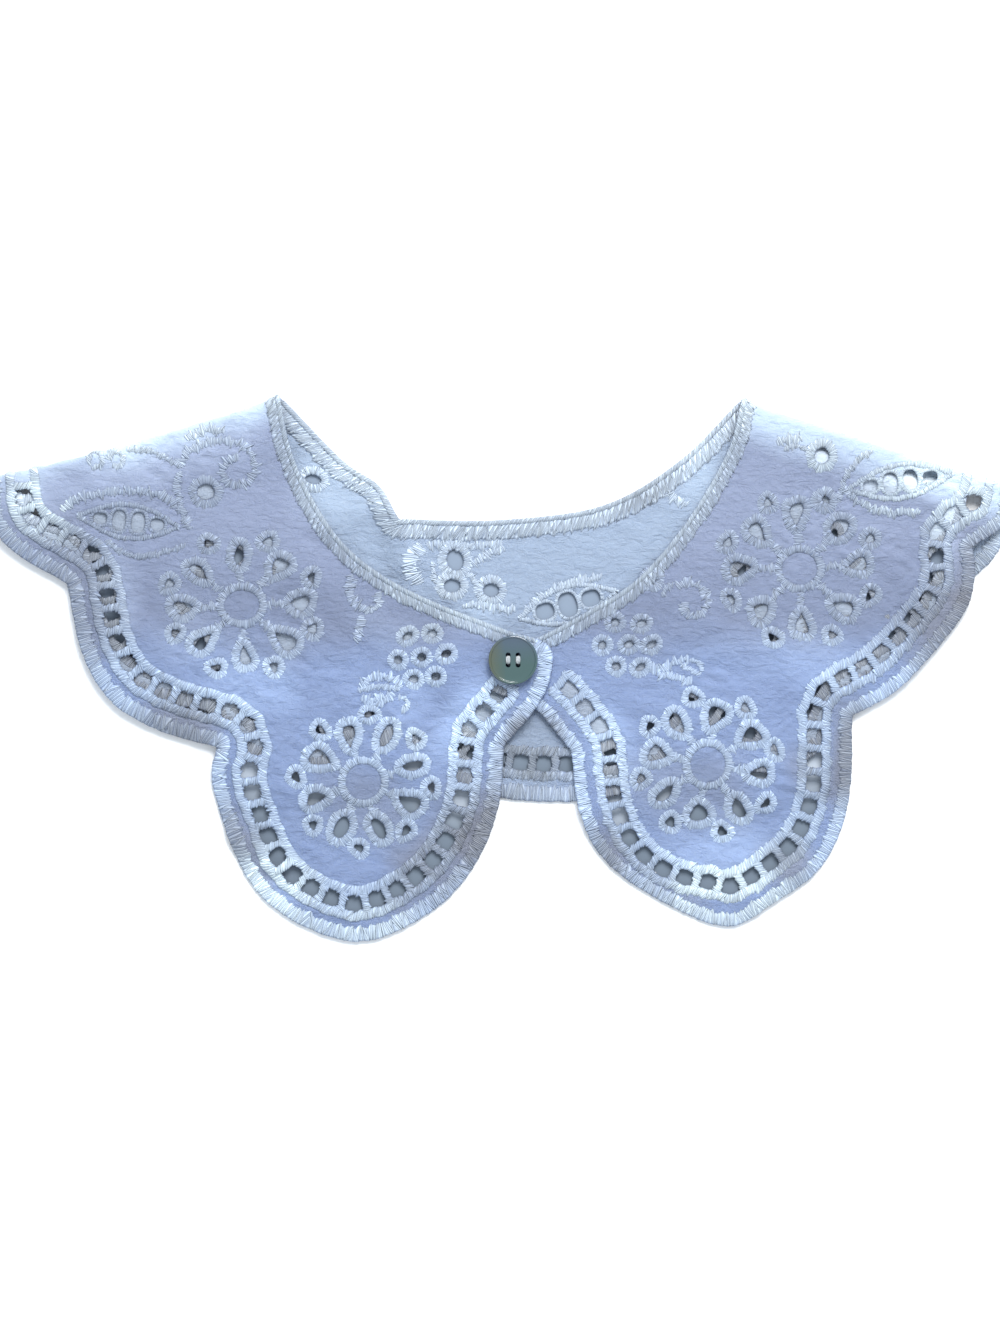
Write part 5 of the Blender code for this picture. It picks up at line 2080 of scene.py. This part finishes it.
    def shank_profile(self) -> Array:
        """Half outline of the wound thread: radius plus a ripple of one turn for each strand.

        Returns:
            Its points, from the top down.
        """
        low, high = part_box("button_thread")
        z = np.linspace(high.z / MM, low.z / MM, 40)
        x = self.shank_radius * (0.93 + 0.07 * np.abs(np.sin(math.pi * (z - z[0]) / 0.42)))
        return np.vstack([(0.0, z[0]), np.stack([x, z], axis=1), (0.0, z[-1])])

    def build(self) -> None:
        """The button, its stitches and its shank."""
        blank = self.turned_mesh("button_blank", self.profile(), self.base)
        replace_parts(add_piece(self.bored(blank), SHELL.make()), "button")
        thread = SEWING_THREAD.make()
        add_piece(self.stitches().mesh("button_stitches"), thread)
        shank = self.turned_mesh("wound_shank", self.shank_profile(), 0.0)
        shank.uv_layers.new(name="stitches")
        shank.shade_smooth()
        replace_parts(add_piece(shank, thread), "button_thread")


class Collar:
    """The whole collar: three panels of cloth and embroidery, and the button."""

    def __init__(self) -> None:
        """Work out how the panels lie on each other."""
        self.panels = {name: Panel(name) for name in PLANS}
        for panel in self.panels.values():
            for lower in (self.panels[name] for name in panel.plan.beneath):
                panel.under.append(lower.cover)
                lower.over.append(panel)

    def build(self) -> None:
        """Make every piece."""
        front = (FRONT_COTTON.make(), FRONT_SATIN.make())
        back = (BACK_COTTON.make(), BACK_SATIN.make())
        for panel in self.panels.values():
            cotton, satin = front if panel.plan.beneath else back
            work = Embroidery(panel, satin)
            work.build()
            if panel.name == "left_front":
                work.holes.append(Hole(*BUTTON_AT, 2 * SHANK_SLOT_RADIUS, 2 * SHANK_SLOT_RADIUS))
            Cloth(panel, work.holes).build(cotton)
        Button().build()


# ---------------- the setting

@dataclass
class Studio:
    """Pale floor, soft daylight and a camera straight above the collar."""

    collar: Collar
    frame_width: float = 0.300
    image_width: int = 1000
    image_height: int = 1334
    centre: Point = (0.0, 0.0006)
    lens: float = 60.0
    sensor: float = 24.0
    floor_low: float = -0.00008
    floor_half: float = 2.5
    mat_cell: float = 1.6
    mat_neck_inset: float = 3.0
    mat_edge_inset: float = 5.2
    mat_fold_inset: float = 14.0
    mat_step: float = 0.00001
    window_at: tuple[float, float, float] = (0.15, 0.56, 0.68)
    window_size: float = 0.42
    window_power: float = 10.2
    sky: Colour = (0.86, 0.93, 1.0)
    sky_strength: float = 0.95

    def staged(self, mesh: Mesh, paper: Material) -> None:
        """Put a mesh of paper in the scene as stage."""
        mesh.materials.append(paper)
        link(mesh.name, mesh)

    def floor(self) -> None:
        """Wide pale floor under the collar."""
        mesh = bpy.data.meshes.new("floor")
        corners = ((-1, -1), (1, -1), (1, 1), (-1, 1))
        mesh.from_pydata([(x * self.floor_half, y * self.floor_half, self.floor_low) for x, y in corners],
                         [], [(0, 1, 2, 3)])
        self.staged(mesh, FLOOR_PAPER.make())

    def mats(self) -> None:
        """A grey sheet under each panel, well inside its edges, so that its holes read: partly the grey
        table, partly painted shade.

        It is painted paler towards the neck, and where a front stands off it beside the back, as painted
        light.
        """
        paper = TABLE_AND_SHADE_MAT.make()
        for level, panel in enumerate(self.collar.panels.values()):
            line = np.vstack([inset(panel.neck_runs, self.mat_neck_inset, panel.plan.inward),
                              inset(panel.scallop_runs, self.mat_edge_inset, panel.plan.inward)])
            line = line[np.all([fold.depth(line) > self.mat_fold_inset for fold in panel.folds], axis=0)]
            x, y = grid_points(line.min(axis=0), line.max(axis=0), self.mat_cell)
            points = as_points(x, y)
            kept, _, _ = grid_faces(*x.shape, False, False)
            used, quads = np.unique(kept[is_inside(points, line)[kept].all(axis=1)], return_inverse=True)
            points = points[used]
            raised = np.zeros(len(points))
            for under in panel.under:
                beside = under(points)
                raised = np.maximum(raised, ease(beside, *STEP) * (beside < 3.0))
            height = np.full(len(points), self.floor_low + self.mat_step * (level + 1))
            mesh = bpy.data.meshes.new(f"mat_{level}")
            mesh.from_pydata(np.column_stack([points * MM, height]).tolist(), [],
                             quads.reshape(-1, 4).tolist())
            # Painted light where a front stands off beside the back.
            put_values(mesh, "raised", raised)
            self.staged(mesh, paper)

    def lights(self) -> None:
        """Cool daylight all round, with a broad window beyond the neck side."""
        world = bpy.data.worlds.new("daylight")
        world.use_nodes = True
        background = world.node_tree.nodes["Background"]
        Nodes(world.node_tree).put(background, {"Color": self.sky, "Strength": self.sky_strength})
        bpy.context.scene.world = world
        data = bpy.data.lights.new("window", "AREA")
        data.size = self.window_size
        data.energy = self.window_power
        lamp = link("window", data)
        lamp.location = self.window_at
        lamp.rotation_euler = (-Vector(self.window_at)).to_track_quat("-Z", "Y").to_euler()

    def camera(self) -> None:
        """Camera straight above, its frame as wide as it should be at the cloth."""
        data = bpy.data.cameras.new("camera")
        data.sensor_fit = "VERTICAL"
        data.sensor_height = self.sensor
        data.lens = self.lens
        height = self.frame_width * self.image_height / self.image_width
        camera = link("camera", data)
        camera.location = (*self.centre, height * self.lens / self.sensor + 2.0 * MM)
        bpy.context.scene.camera = camera
        bpy.context.scene.view_settings.view_transform = "Standard"

    def build(self) -> None:
        """Set everything up."""
        self.floor()
        self.mats()
        self.lights()
        self.camera()


def main() -> None:
    """Build the collar and its setting."""
    logging.basicConfig(level=logging.INFO, format="%(message)s")
    mottle_group()
    strands_group()
    doubling_and_painted_light_group()
    collar = Collar()
    collar.build()
    Studio(collar).build()


if __name__ == "__main__":
    main()
